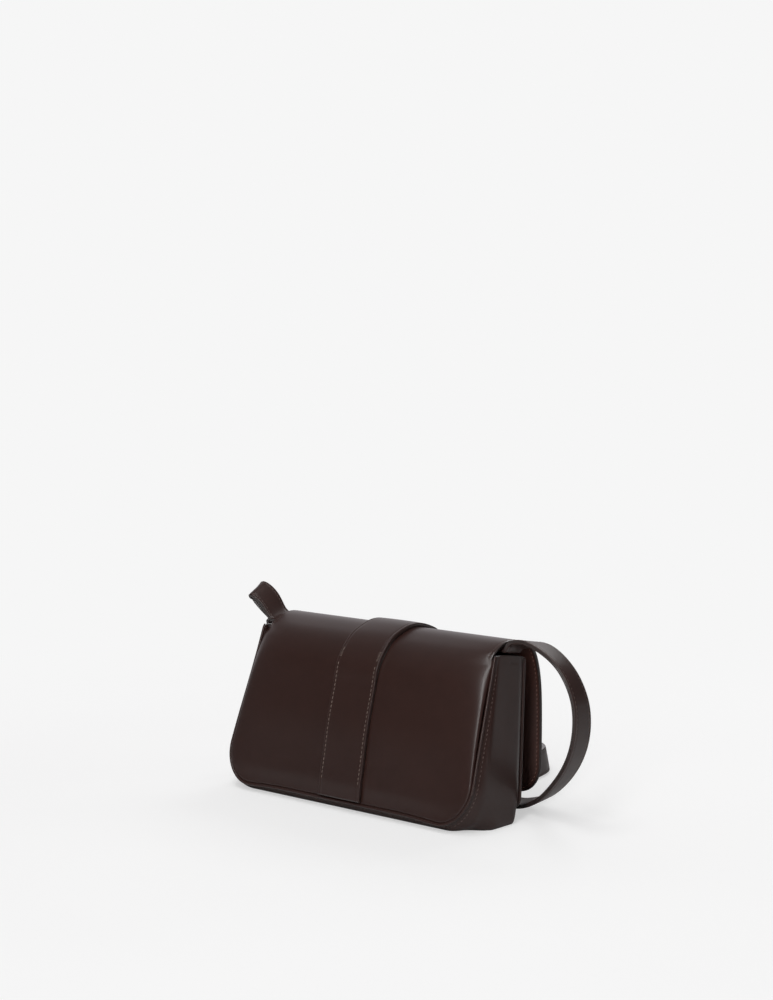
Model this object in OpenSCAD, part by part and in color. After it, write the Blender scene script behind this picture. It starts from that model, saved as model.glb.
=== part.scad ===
// Small structured crossbody bag in smooth leather: a boxy body of back panel, front panel and
// one gusset strip, a flap that goes on from the back panel over the mouth, a wide band round the
// middle, and a long flat strap that is sewn into the tops of the gusset.
// Millimetres. X runs along the width, the flap's face looks to -Y, Z is up, and the bag stands
// on Z = 0 with the middle of its own box over the origin.

/* [Body] */
// Width between the side seams at the foot
foot_w = 240; // [200:1:300]
// How much nearer the middle each side seam is at the mouth than at the foot
side_lean = 4; // [0:0.5:6]
// Height of the mouth over the floor, at the back
mouth_h = 125; // [115:1:150]
// How much lower the mouth is at the front
mouth_drop = 5; // [2:0.5:8]
// Depth between the seams at the foot
foot_d = 63.5; // [54:0.5:76]
// Depth between the seams at the mouth
mouth_d = 35; // [32:1:42]
// How far the back seam leans forward from the foot to the mouth
back_lean = 39; // [30:1:46]
// Radius of the lower corners at the back
corner_r = 27; // [20:1:36]
// Radius of the lower corners at the front
front_corner_r = 10; // [8:1:24]
// Height of the seams over the floor
seam_h = 8; // [5:0.5:11]
// How far the gusset swells past the seams at the sides
side_swell = 3; // [1:0.5:5]
// How far the filled back panel swells past its seam
back_swell = 11; // [6:0.5:13]
// How far the filled front panel swells past its seam
front_swell = 15.6; // [13:0.2:15.8]

/* [Leather and lining] */
// Thickness of the outer leather
leather = 1.8; // [1.2:0.1:2.2]
// Thickness of the lining
lining = 0.8; // [0.5:0.1:1]
// Thickness of the stiffening boards in the walls
board = 0.8; // [0.6:0.1:1]
// Thickness of the board in the base
base_board_t = 1.6; // [1:0.1:2.4]
// Space between one soft layer and the next
layer_gap = 0.4; // [0.35:0.05:0.5]
// Radius of the piping in the seams
welt_r = 1.6; // [1.2:0.1:2]
// Thickness of the leather that faces the mouth inside
facing_t = 1.2; // [0.8:0.1:1.4]
// Height of the leather that faces the mouth inside
facing_h = 16; // [10:1:24]

/* [Inner pocket] */
// Width of the open pocket on the back lining
pocket_w = 130; // [80:1:160]
// Height of that pocket
pocket_h = 62; // [40:1:70]
// How high the pocket starts over the floor
pocket_z = 28; // [24:1:34]

/* [Flap] */
// How far the flap's face stands forward of the top of the back seam
flap_reach = 63.4; // [58:0.2:70]
// How high the flap rolls over the top of the back seam
flap_rise = 9.4; // [8:0.1:13]
// How far the flap's lower edge hangs under the top of the back seam
flap_drop = 113; // [90:1:114]
// How far each side of the flap stops short of the side seam
flap_short = 4.5; // [4:0.5:25]
// Radius of the flap's lower corners
flap_corner_r = 22; // [12:1:32]

/* [Band] */
// Width of the band round the middle
band_w = 41; // [30:0.5:55]
// Thickness of the doubled band
band_t = 2.6; // [2:0.1:2.8]
// How far the loose part of the band stands off the leather over the top
band_lift = 0.9; // [0.3:0.1:1.2]
// How far the band stops short of the flap's lower edge
band_end = 6; // [3:0.5:12]

/* [Magnetic snap] */
// Radius of both halves of the snap
snap_r = 9; // [7:0.5:10]
// Height of the snap on the front panel, as a share of the panel's height
snap_share = 0.33; // [0.28:0.01:0.4]
// Thickness of the half on the front panel
socket_t = 2.8; // [2.6:0.1:3.2]
// Thickness of the half on the flap
stud_t = 2; // [1.6:0.1:2.4]
// Radius of the boss on the flap's half
boss_r = 2.6; // [2:0.1:2.8]
// Length of that boss
boss_l = 1.2; // [0.8:0.1:1.3]

/* [Strap] */
// Width of the strap
strap_w = 20; // [16:0.5:20]
// Thickness of the strap
strap_t = 3.2; // [2.6:0.1:3.4]
// Length of the strap's end inside the gusset
tab_l = 26; // [18:1:32]

/* [Hidden] */
$fn = 48;

// Outer swell of the back panel over its height, of the front panel over its height, from the
// bottom seam to the mouth in even steps, as shares of the swells above
back_swell_shares = [0, 0.25, 0.42, 0.62, 0.79, 0.86, 0.95, 0.98, 0.3];
front_swell_shares = [0, 0.74, 1, 0.98, 0.92, 0.86, 0.78, 0.68, 0.55];
// Profile of the flap from the hinge to its lower edge: share of the reach, then share of the rise
// where it is positive and of the drop where it is negative
flap_y_shares = [0, 0.13, 0.28, 0.44, 0.6, 0.73, 0.85, 0.93, 0.985, 1, 1, 0.995, 0.99];
flap_z_shares = [0, 0.5, 0.93, 1, 0.74, 0.39, -0.01, -0.11, -0.25, -0.4375, -0.625, -0.8125, -1];
// Depth of the gusset, from seam to seam, that turns down to the flat base on each side
ramp_share = 0.17;
// Depth over which the lower corners turn from the back's radius to the front's
corner_turn_share = 0.55;
// Places across the gusset where its grid has points, from seam to seam
depth_shares = [0, 0.05, 0.11, 0.17, 0.33, 0.5, 0.67, 0.83, 0.89, 0.95, 1];
// Powers that keep the panels full almost to their seams
edge_power = 8;
pull_power = 6;
// Power that keeps the gusset full round its lower corners, and power of the flap's bow
corner_power = 3;
bow_power = 4;
// Share of a knot's step over which the flap's direction is taken
lie_share = 0.5;
// Angle from level at which the leather is parted at the hinge
part_angle = 56;
// How far the back panel's upper corners are pulled forward to the flap
end_pull = 4;
// Height over which the back panel turns into the flap
turn_h = 13;
// Parting gap in the leather at the hinge
part_gap = 0.4;
// How far the hinge line stands off the band
hinge_clear = 0.5;
// Distance of the hidden layers from the cut edge of the leather
lining_inset = 3;
board_inset = 6;
// Walls and clearances of the snap, and the plates behind it
snap_wall = 0.8;
snap_clear = 0.2;
snap_gap = 0.3;
boss_clear = 1.2;
plate_r = 6;
plate_t = 0.6;
// Share of the gusset's depth, from the back, at which the strap leaves it
strap_mid_share = 0.62;
// Rounding of the strap's long edges
strap_edge = 0.8;
// Least radius and least row of the layers inside
least_r = 1;
least_row = 1.2;
// Height over which the back wall's rows are close
close_h = 32;
// Steps of the grids
cols = 9;
arc_step = 15;
wide_rows = 5;
close_rows = 7;
side_rows = 7;
base_cols = 8;
flap_rows = 20;

// The cord's route from the left-hand gusset round to the right-hand one: the middle line, then
// the direction of the strap's width
ROUTE = [
  [-112.5, -10.5, 124.5, 0, 1, 0.18],
  [-115, -10.9, 127.3, -0.1, 1, 0.15],
  [-119.9, -10.8, 131.2, 0.05, 1, 0.26],
  [-131.5, -10.7, 133.7, 0.1, 1, 0.17],
  [-147.2, -10.5, 129.6, -0.06, 1, 0.04],
  [-164.2, -10.3, 117, -0.03, 1, 0.14],
  [-175, -10.7, 96.5, -0.05, 1, 0.1],
  [-174, -14, 73, -0.02, 1, 0.03],
  [-164.2, -19.3, 50.8, 0, 1, 0],
  [-146.5, -27, 30.5, -0.02, 1, 0],
  [-122.4, -38.3, 12.8, -0.11, 1, -0.03],
  [-98.2, -47, 3.8, -0.09, 1, -0.1],
  [-77.4, -52, 2.9, -0.04, 1, 0.1],
  [-40, -58, 2.5, 0, 1, 0],
  [0, -65, 5.5, 0, 0.92, 0.4],
  [36, -71, 10.5, 0, 0.4, 0.9],
  [74, -84, 11, 0, 0, 1],
  [82, -102, 11, 0, 0, 1],
  [60, -113, 11, 0, 0, 1],
  [14, -98, 11, 0, 0, 1],
  [-22, -94, 11, 0, 0, 1],
  [-49, -107, 11, 0.1, 0.1, 1],
  [-48.5, -129.5, 11.2, 0.14, 0.12, 1],
  [-37, -158.8, 11.3, 0.14, 0.12, 1],
  [2, -173, 11.2, 0.08, 0.06, 1],
  [62, -167, 11, 0, 0, 1],
  [116, -139, 11, 0.1, 0, 1],
  [142, -102, 11, 0.5, 0, 0.87],
  [147, -70, 14, 1, 0, 0.3],
  [144, -48, 34, 0.8, 0.6, 0.1],
  [138, -33, 68, 0.4, 0.9, 0],
  [133.5, -24, 104, 0.1, 1, 0],
  [133, -18, 128, 0, 1, -0.2],
  [134.1, -10.7, 134.1, -0.46, 0.94, -0.26],
  [142.4, -7.9, 143.8, -0.45, 0.9, -0.34],
  [139.2, -4.9, 149.1, -0.03, 0.86, -0.42],
  [129.9, -8, 142.3, 0, 0.86, -0.35],
  [121.1, -9.5, 129.3, -0.14, 0.94, -0.36],
  [113.8, -10.6, 127.9, 0, 1, 0.04],
  [112.5, -10.5, 124.5, 0, 1, 0.18]
];
ring_steps = 2;

// Derived places
mouth_w = foot_w - 2 * side_lean;
flap_w = mouth_w - 2 * flap_short;
front_top = mouth_h - mouth_drop;
snap_h = mix(seam_h, front_top, snap_share);
back_foot_y = foot_d / 2;
back_top_y = back_foot_y - back_lean;
front_top_y = back_top_y - mouth_d;
mid_y = -(back_foot_y + welt_r + back_top_y - flap_reach) / 2;
seam_inset = max(welt_r, leather) + layer_gap;
crease_z = seam_h + corner_r;
wall_board_off = leather + layer_gap;
wall_lining_off = wall_board_off + board + layer_gap;
side_lining_off = leather + strap_t + 2 * layer_gap;
base_lining_off = leather + base_board_t + 2 * layer_gap;
panel_lining_inset = side_lining_off + max(lining, facing_t) + layer_gap;
back_edge_inset = wall_lining_off + facing_t + end_pull + 2 * layer_gap;
front_edge_inset = wall_lining_off + facing_t + layer_gap;
facing_bottom = mouth_h - facing_h;
front_facing_bottom = front_top - facing_h;
flap_knots = len(flap_y_shares) - 1;
flap_ys = [for (s = flap_y_shares) s * flap_reach];
flap_zs = [for (s = flap_z_shares) s > 0 ? s * flap_rise : s * flap_drop];
flap_step = (flap_z_shares[flap_knots - 1] - flap_z_shares[flap_knots]) * flap_knots * flap_drop;
flap_start = part_gap / (flap_zs[1] * flap_knots);

// General functions
function mix(a, b, t) = a + (b - a) * t;
function ease(t) = let (k = min(max(t, 0), 1)) k * k * (3 - 2 * k);
function unit(v) = v / norm(v);
// A smooth curve through evenly spaced values or points, for t from 0 to 1
function bend(v, t) =
  let (n = len(v) - 1, s = min(max(t, 0), 1) * n, i = min(floor(s), n - 1), f = s - i)
  let (a = v[max(i - 1, 0)], b = v[i], c = v[i + 1], d = v[min(i + 2, n)])
  b + f * (c - a) / 2 + f * f * (a - 5 * b / 2 + 2 * c - d / 2)
    + f * f * f * (3 * (b - c) + d - a) / 2;
function column_shares() = [for (i = [-cols:cols]) sin(90 * i / cols)];
function steps(low, high, n) = [for (i = [1:n]) mix(low, high, i / n)];
function rows_between(low, high, n) = concat([low], steps(low, high, n));

// Half the width at height z of an outline with lower corners of radius r, less an inset
function half_width(z, inset, r, top) =
  let (least = max(r - inset, least_r), turn_z = seam_h + inset + least, from_z = seam_h + r)
  z < turn_z
    ? foot_w / 2 - inset - least + sqrt(max(pow(least, 2) - pow(turn_z - z, 2), 0))
    : mix(foot_w / 2, mouth_w / 2, max(z - from_z, 0) / (top - from_z)) - inset;
// Heights of a wall's rows: round the corner, then up to the top; a layer inside takes the rows
// that lie between its own edges
function corner_rows(r) = [for (a = [0:arc_step:90]) seam_h + r - (r - seam_inset) * cos(a)];
back_rows = concat(corner_rows(corner_r), steps(crease_z, mouth_h - close_h, wide_rows),
  steps(mouth_h - close_h, mouth_h - part_gap / 2, close_rows));
front_rows = concat(corner_rows(front_corner_r), steps(seam_h + front_corner_r, front_top / 2, close_rows),
  steps(front_top / 2, front_top, wide_rows));
function layer_rows(rows, low, high) =
  concat([low], [for (z = rows) if (z > low + least_row && z < high - least_row) z], [high]);

// Seam lines and outer faces of the panels
function back_seam_y(z) = back_foot_y - back_lean * (z - seam_h) / (mouth_h - seam_h);
function front_seam_y(z) = mix(-back_foot_y, front_top_y, (z - seam_h) / (front_top - seam_h));
function top_turn(z) = ease((z - mouth_h + turn_h) / turn_h);
function fullness(u) = 1 - pow(abs(u), edge_power);
function back_y(z, u) =
  back_seam_y(z)
    + back_swell * bend(back_swell_shares, (z - seam_h) / (mouth_h - seam_h)) * fullness(u)
    - end_pull * top_turn(z) * pow(abs(u), pull_power);
function front_y(z, u) =
  front_seam_y(z)
    - front_swell * bend(front_swell_shares, (z - seam_h) / (front_top - seam_h)) * fullness(u);
// Direction in which the layers of the back panel follow each other
function back_lie(z) = part_angle * top_turn(z);
function back_half(z, inset) = half_width(z, inset, corner_r, mouth_h);
function front_half(z, inset) = half_width(z, inset, front_corner_r, front_top);
function back_width(z, inset) = mix(back_half(z, inset), min(back_half(z, inset), flap_w / 2), top_turn(z));
function back_point(z, x, off) =
  let (a = back_lie(z)) [x, back_y(z, x / back_half(z, 0)) - off * cos(a), z - off * sin(a)];
function front_point(z, x, off) = [x, front_y(z, x / front_half(z, 0)) + off, z];
function back_grid(rows, inset, off) =
  [for (z = rows) [for (u = column_shares()) back_point(z, u * back_width(z, inset), off)]];
function front_grid(rows, inset, off) =
  [for (z = rows) [for (u = column_shares()) front_point(z, u * front_half(z, inset), off)]];

// The gusset as a strip. A place along the U is [share of the base, angle round the corner, share
// of the side climbed]; v runs across, from the back seam to the front seam.
function gusset_path() = concat(
  [for (i = [side_rows:-1:1]) [1, 0, i / side_rows]],
  [for (a = [0:arc_step:90]) [1, a, 0]],
  [for (i = [1:base_cols - 1]) [1 - 2 * i / base_cols, 90, 0]],
  [for (a = [90:arc_step:180]) [-1, a, 0]],
  [for (i = [1:side_rows]) [-1, 180, i / side_rows]]);
function side_place(right, z) =
  [right ? 1 : -1, right ? 0 : 180, (z - crease_z) / (mouth_h - crease_z)];
function side_path(right, low, high, n) = [for (z = rows_between(low, high, n)) side_place(right, z)];
function gusset_r(v) = mix(corner_r, front_corner_r, ease(v / corner_turn_share));
function seam_x(p, v) =
  p[0] * (foot_w / 2 - gusset_r(v)) + (gusset_r(v) - (foot_w - mouth_w) / 2 * p[2]) * cos(p[1]);
function seam_z(p, v) = mix(seam_h + gusset_r(v) * (1 - sin(p[1])), mouth_h - mouth_drop * v * v, p[2]);
function side_part(p) = abs(cos(p[1]));
function gusset_swell(p) = mix(seam_h, side_swell, pow(side_part(p), corner_power)) * (1 - p[2] * p[2]);
function gusset_y(p, v) = mix(back_seam_y(seam_z(p, 0)), front_seam_y(seam_z(p, 1)), v);
function gusset_depth(p) = gusset_y(p, 0) - gusset_y(p, 1);
function ramp(v, depth) =
  let (e = seam_inset / depth, k = (v - e) / (1 - 2 * e))
  sin(90 * min(max(min(k, 1 - k) / ramp_share, 0), 1));
function gusset_point(p, v, off) =
  let (push = gusset_swell(p) * ramp(v, gusset_depth(p)) - off)
  [seam_x(p, v) + push * cos(p[1]), gusset_y(p, v), seam_z(p, v) - push * sin(p[1])];
function gusset_grid(path, inset_b, inset_f, base_off, side_off) =
  [for (p = path) let (d = gusset_depth(p))
    [for (s = depth_shares)
      gusset_point(p, mix(inset_b / d, 1 - inset_f / d, s), mix(base_off, side_off, side_part(p)))]];

// The flap's outer face: t runs from the hinge to the lower edge, x across
flap_half = flap_w / 2;
function bow_share(z) = let (k = (z - snap_h) / (mouth_h - snap_h)) max(1 - k * k, 0);
function flap_profile(t) = [back_top_y - bend(flap_ys, t), mouth_h + bend(flap_zs, t)];
function flap_rest(t, u) =
  let (p = flap_profile(t), lead = back_y(mouth_h, u) - back_top_y)
  [p[0] + lead * (1 - ease(t * flap_knots / 2)), p[1]];
function flap_lie(t) =
  let (h = lie_share / flap_knots, d = flap_profile(min(t + h, 1)) - flap_profile(max(t - h, 0)))
  mix(part_angle, atan2(-d[0], d[1]), ease(t * flap_knots));
function flap_point(t, x, off) =
  let (u = x / flap_half, p = flap_rest(t, u), a = flap_lie(t))
  let (bow = flap_bow * bow_share(p[1]) * (1 - pow(u, bow_power)))
  [x, p[0] + bow - off * cos(a), p[1] - off * sin(a)];
// Rows of the flap: share along the profile, then half the width there
function flap_rows_list(inset) = concat(
  [for (i = [0:flap_rows])
    [mix(flap_start, 1 - flap_corner_r / flap_step, i / flap_rows), flap_half - inset]],
  [for (a = [90 - arc_step:-arc_step:0])
    [1 - (flap_corner_r - (flap_corner_r - inset) * cos(a)) / flap_step,
      flap_half - flap_corner_r + (flap_corner_r - inset) * sin(a)]]);
function flap_grid(rows, off) =
  [for (r = rows) [for (u = column_shares()) flap_point(r[0], u * r[1], off)]];

// Where the snap's halves lie: the flap is bowed in until they meet
flap_lining_off = leather + board + 2 * layer_gap;
socket_back_y = min(front_y(snap_h + snap_r, 0), front_y(snap_h, 0)) - layer_gap;
socket_face_y = socket_back_y - socket_t;
stud_face_y = socket_face_y - snap_gap;
stud_back_y = stud_face_y - stud_t;
flap_bow = stud_back_y - layer_gap - flap_lining_off - lining - (back_top_y - flap_reach);

// The hinge line lies in the parting plane, just outside the band
band_off = layer_gap + band_lift;
hinge_off = band_off + band_t + hinge_clear;
hinge_y = back_y(mouth_h, 0) + hinge_off * cos(part_angle);
hinge_z = mouth_h + hinge_off * sin(part_angle);

// Solids from grids and rings
module shell(outer, inner, flip = false) {
  r_n = len(outer);
  c_n = len(outer[0]);
  function at(layer, r, c) = (layer * r_n + r) * c_n + c;
  skin = [for (r = [0:r_n - 2], c = [0:c_n - 2], k = [0:3])
    k == 0 ? [at(0, r, c), at(0, r, c + 1), at(0, r + 1, c + 1)]
    : k == 1 ? [at(0, r, c), at(0, r + 1, c + 1), at(0, r + 1, c)]
    : k == 2 ? [at(1, r, c), at(1, r + 1, c + 1), at(1, r, c + 1)]
    : [at(1, r, c), at(1, r + 1, c), at(1, r + 1, c + 1)]];
  ends = [for (c = [0:c_n - 2], k = [0:3])
    k == 0 ? [at(0, 0, c + 1), at(0, 0, c), at(1, 0, c)]
    : k == 1 ? [at(0, 0, c + 1), at(1, 0, c), at(1, 0, c + 1)]
    : k == 2 ? [at(0, r_n - 1, c), at(0, r_n - 1, c + 1), at(1, r_n - 1, c + 1)]
    : [at(0, r_n - 1, c), at(1, r_n - 1, c + 1), at(1, r_n - 1, c)]];
  sides = [for (r = [0:r_n - 2], k = [0:3])
    k == 0 ? [at(0, r, 0), at(0, r + 1, 0), at(1, r + 1, 0)]
    : k == 1 ? [at(0, r, 0), at(1, r + 1, 0), at(1, r, 0)]
    : k == 2 ? [at(0, r + 1, c_n - 1), at(0, r, c_n - 1), at(1, r, c_n - 1)]
    : [at(0, r + 1, c_n - 1), at(1, r, c_n - 1), at(1, r + 1, c_n - 1)]];
  faces = concat(skin, ends, sides);
  points = [for (layer = [outer, inner], row = layer, p = row) p + [0, mid_y, 0]];
  polyhedron(points, flip ? [for (f = faces) [f[2], f[1], f[0]]] : faces);
}

module tube(rings) {
  n = len(rings[0]);
  last = len(rings) - 1;
  walls = [for (r = [0:last - 1], i = [0:n - 1], k = [0, 1])
    let (j = (i + 1) % n)
    k == 0 ? [r * n + i, r * n + j, (r + 1) * n + j] : [r * n + i, (r + 1) * n + j, (r + 1) * n + i]];
  start = [for (i = [1:n - 2]) [0, i + 1, i]];
  end = [for (i = [1:n - 2]) [last * n, last * n + i, last * n + i + 1]];
  polyhedron([for (ring = rings, p = ring) p], concat(walls, start, end));
}

// A strip of even width across the middle, from a profile of [y, z] points
module strip(width, profile) {
  translate([-width / 2, mid_y, 0])
    rotate([90, 0, 90])
      linear_extrude(width)
        polygon(profile);
}

// A round piece with its axis along Y, drawn from its back face towards the front
module at_snap(back_y) {
  translate([0, mid_y + back_y, snap_h])
    rotate([90, 0, 0])
      children();
}

// The body's leather
module gusset() {
  path = gusset_path();
  color("#33231f")
    shell(gusset_grid(path, seam_inset, seam_inset, 0, 0),
      gusset_grid(path, seam_inset, seam_inset, leather, leather), true);
}

module back_panel() {
  color("#3a2823")
    shell(back_grid(back_rows, seam_inset, 0), back_grid(back_rows, seam_inset, leather));
}

module front_panel() {
  color("#3a2823")
    shell(front_grid(front_rows, seam_inset, 0), front_grid(front_rows, seam_inset, leather), true);
}

// The piping lies in the seam, on the line where panel and gusset would meet
module welt(back) {
  color("#2a1c19")
    tube([for (p = gusset_path()) let (v = back ? 0 : 1)
      [for (a = [0:45:315]) let (k = welt_r * cos(a), y = mid_y + gusset_y(p, v) + welt_r * sin(a))
        [seam_x(p, v) + k * cos(p[1]), y, seam_z(p, v) - k * sin(p[1])]]]);
}

module welt_back() {
  welt(true);
}

module welt_front() {
  welt(false);
}

// The boards that keep the walls and the base flat
module base_board() {
  flat_d = foot_d * (1 - 2 * ramp_share) - 2 * seam_inset;
  flat_w = foot_w - 2 * corner_r;
  color("#8a7f70")
    translate([-flat_w / 2, mid_y - flat_d / 2, leather + layer_gap])
      cube([flat_w, flat_d, base_board_t]);
}

module back_board() {
  inset = board_inset + seam_inset;
  rows = layer_rows(back_rows, seam_h + inset, facing_bottom);
  color("#8a7f70")
    shell(back_grid(rows, inset, wall_board_off), back_grid(rows, inset, wall_board_off + board));
}

module front_board() {
  inset = board_inset + seam_inset;
  rows = layer_rows(front_rows, seam_h + inset, front_facing_bottom);
  color("#8a7f70")
    difference() {
      shell(front_grid(rows, inset, wall_board_off), front_grid(rows, inset, wall_board_off + board), true);
      at_snap(back_foot_y)
        cylinder(h = foot_w, r = plate_r + layer_gap);
    }
}

// The lining and the leather that faces the mouth
module lining_gusset() {
  top = facing_bottom - layer_gap;
  low_path = [for (p = gusset_path()) if (seam_z(p, 0) < top - least_row) p];
  path = concat([side_place(true, top)], low_path, [side_place(false, top)]);
  color("#7c3b2c")
    shell(gusset_grid(path, back_edge_inset, front_edge_inset, base_lining_off, side_lining_off),
      gusset_grid(path, back_edge_inset, front_edge_inset,
        base_lining_off + lining, side_lining_off + lining), true);
}

module lining_back() {
  rows = layer_rows(back_rows, seam_h + panel_lining_inset, facing_bottom - layer_gap);
  color("#7c3b2c")
    shell(back_grid(rows, panel_lining_inset, wall_lining_off),
      back_grid(rows, panel_lining_inset, wall_lining_off + lining));
}

module lining_front() {
  rows = layer_rows(front_rows, seam_h + panel_lining_inset, front_facing_bottom - layer_gap);
  color("#7c3b2c")
    shell(front_grid(rows, panel_lining_inset, wall_lining_off),
      front_grid(rows, panel_lining_inset, wall_lining_off + lining), true);
}

module facing_back() {
  rows = layer_rows(back_rows, facing_bottom, mouth_h - part_gap / 2);
  color("#4a2d25")
    shell(back_grid(rows, panel_lining_inset, wall_lining_off),
      back_grid(rows, panel_lining_inset, wall_lining_off + facing_t));
}

module facing_front() {
  rows = layer_rows(front_rows, front_facing_bottom, front_top);
  color("#4a2d25")
    shell(front_grid(rows, panel_lining_inset, wall_lining_off),
      front_grid(rows, panel_lining_inset, wall_lining_off + facing_t), true);
}

module facing_side(right) {
  path = side_path(right, facing_bottom, mouth_h - layer_gap, 3);
  inner = side_lining_off + facing_t;
  color("#4a2d25")
    shell(gusset_grid(path, back_edge_inset, front_edge_inset, side_lining_off, side_lining_off),
      gusset_grid(path, back_edge_inset, front_edge_inset, inner, inner), !right);
}

module facing_right() {
  facing_side(true);
}

module facing_left() {
  facing_side(false);
}

// An open pocket sewn to the back lining
module slip_pocket() {
  rows = layer_rows(back_rows, pocket_z, pocket_z + pocket_h);
  off = wall_lining_off + lining + layer_gap;
  color("#6e3427")
    shell([for (z = rows) [for (i = [-4:4]) back_point(z, i * pocket_w / 8, off)]],
      [for (z = rows) [for (i = [-4:4]) back_point(z, i * pocket_w / 8, off + lining)]]);
}

// The band: sewn down on the back, loose over the top and down the flap's face
function lift_share(z) = ease((z - facing_bottom + facing_h) / facing_h);
function back_band_point(z, off) =
  let (p = back_point(z, 0, -(layer_gap + band_lift * lift_share(z) + off))) [p[1], p[2]];
function flap_band_point(t, off) =
  let (p = flap_point(t, 0, -(layer_gap + band_lift * (1 - ease(2 * t)) + off))) [p[1], p[2]];

module band_back() {
  n = len(back_rows) - 1;
  color("#33231f")
    strip(band_w, concat([for (z = back_rows) back_band_point(z, band_t)],
      [for (i = [n:-1:0]) back_band_point(back_rows[i], 0)]));
}

module band_flap() {
  rows = rows_between(flap_start, 1 - band_end / flap_step, flap_rows + 4);
  color("#33231f")
    strip(band_w, concat([for (t = rows) flap_band_point(t, band_t)],
      [for (i = [len(rows) - 1:-1:0]) flap_band_point(rows[i], 0)]));
}

// The half of the snap on the front panel: a case round a ring magnet, and its plate, which is
// pressed to the wall
module snap_socket() {
  color("#b9a77c")
    at_snap(socket_back_y)
      difference() {
        cylinder(h = socket_t, r = snap_r);
        translate([0, 0, -snap_wall])
          cylinder(h = socket_t, r = snap_r - snap_wall);
        cylinder(h = 2 * socket_t, r = boss_r + boss_clear);
      }
}

module snap_magnet() {
  color("#5c5c60")
    at_snap(socket_back_y)
      translate([0, 0, snap_clear])
        difference() {
          cylinder(h = socket_t - snap_wall - 2 * snap_clear, r = snap_r - snap_wall - snap_clear);
          translate([0, 0, -socket_t])
            cylinder(h = 3 * socket_t, r = boss_r + boss_clear + snap_clear);
        }
}

module snap_socket_plate() {
  rows = [for (a = [arc_step - 90:arc_step:90 - arc_step]) [snap_h + plate_r * sin(a), plate_r * cos(a)]];
  function face(off) =
    [for (r = rows) [for (u = column_shares()) front_point(r[0], u * r[1], off)]];
  color("#a8a9ad")
    shell(face(wall_board_off), face(wall_board_off + plate_t), true);
}

// The strap's ends inside the gusset, and the strap itself
module strap_tab(right) {
  path = side_path(right, mouth_h - tab_l, mouth_h, 4);
  half = strap_w / 2;
  inner = leather + layer_gap;
  color("#3a2823")
    shell([for (p = path) [for (s = [-1, 0, 1])
        gusset_point(p, strap_mid_share + s * half / gusset_depth(p), inner)]],
      [for (p = path) [for (s = [-1, 0, 1])
        gusset_point(p, strap_mid_share + s * half / gusset_depth(p), inner + strap_t)]],
      !right);
}

module strap_tab_right() {
  strap_tab(true);
}

module strap_tab_left() {
  strap_tab(false);
}

module strap() {
  half = strap_w / 2;
  deep = strap_t / 2;
  outline = [[half, deep - strap_edge], [half - strap_edge, deep], [strap_edge - half, deep],
    [-half, deep - strap_edge], [-half, strap_edge - deep], [strap_edge - half, -deep],
    [half - strap_edge, -deep], [half, strap_edge - deep]];
  n = (len(ROUTE) - 1) * ring_steps;
  color("#33231f")
    tube([for (i = [0:n])
      let (s = bend(ROUTE, i / n), a = bend(ROUTE, (i - 0.5) / n), b = bend(ROUTE, (i + 0.5) / n))
      let (along = unit([b[0] - a[0], b[1] - a[1], b[2] - a[2]]), w = [s[3], s[4], s[5]])
      let (wide = unit(w - along * (w * along)), thick = cross(wide, along))
      [for (c = outline) [s[0], s[1], s[2]] + wide * c[0] + thick * c[1]]]);
}

// The flap
module flap_outer() {
  rows = flap_rows_list(0);
  color("#3a2823")
    shell(flap_grid(rows, 0), flap_grid(rows, leather));
}

module flap_board() {
  rows = [for (r = flap_rows_list(board_inset)) if (flap_profile(r[0])[1] < mouth_h - flap_rise) r];
  color("#8a7f70")
    difference() {
      shell(flap_grid(rows, wall_board_off), flap_grid(rows, wall_board_off + board));
      at_snap(socket_back_y)
        cylinder(h = foot_w, r = plate_r + layer_gap);
    }
}

module flap_lining() {
  rows = flap_rows_list(lining_inset);
  color("#7c3b2c")
    shell(flap_grid(rows, flap_lining_off), flap_grid(rows, flap_lining_off + lining));
}

// The half of the snap on the flap
module snap_stud() {
  color("#b9a77c")
    at_snap(stud_face_y) {
      cylinder(h = stud_t, r = snap_r);
      translate([0, 0, -boss_l])
        cylinder(h = boss_l, r = boss_r);
    }
}

module snap_stud_plate() {
  color("#a8a9ad")
    at_snap(stud_back_y - 2 * layer_gap - lining)
      cylinder(h = plate_t, r = plate_r);
}

gusset();
back_panel();
front_panel();
welt_back();
welt_front();
base_board();
back_board();
front_board();
lining_gusset();
lining_back();
lining_front();
facing_back();
facing_front();
facing_right();
facing_left();
slip_pocket();
band_back();
snap_socket();
snap_magnet();
snap_socket_plate();
strap_tab_right();
strap_tab_left();
strap();
flap_outer();
flap_board();
flap_lining();
band_flap();
snap_stud();
snap_stud_plate();
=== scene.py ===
# %% [markdown]
# # A small leather crossbody bag
# The bag is cut from flat leather and sewn: a back panel that runs on over the top and becomes the
# flap, a front panel, and one long strip, the gusset, for both ends and the base. The frame that is
# loaded first holds the same bag as plain solids. Every piece below is made in metres in that frame
# and stands for one or more of those solids.

import bpy
import numpy as np
from mathutils import Matrix, Vector


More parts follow.
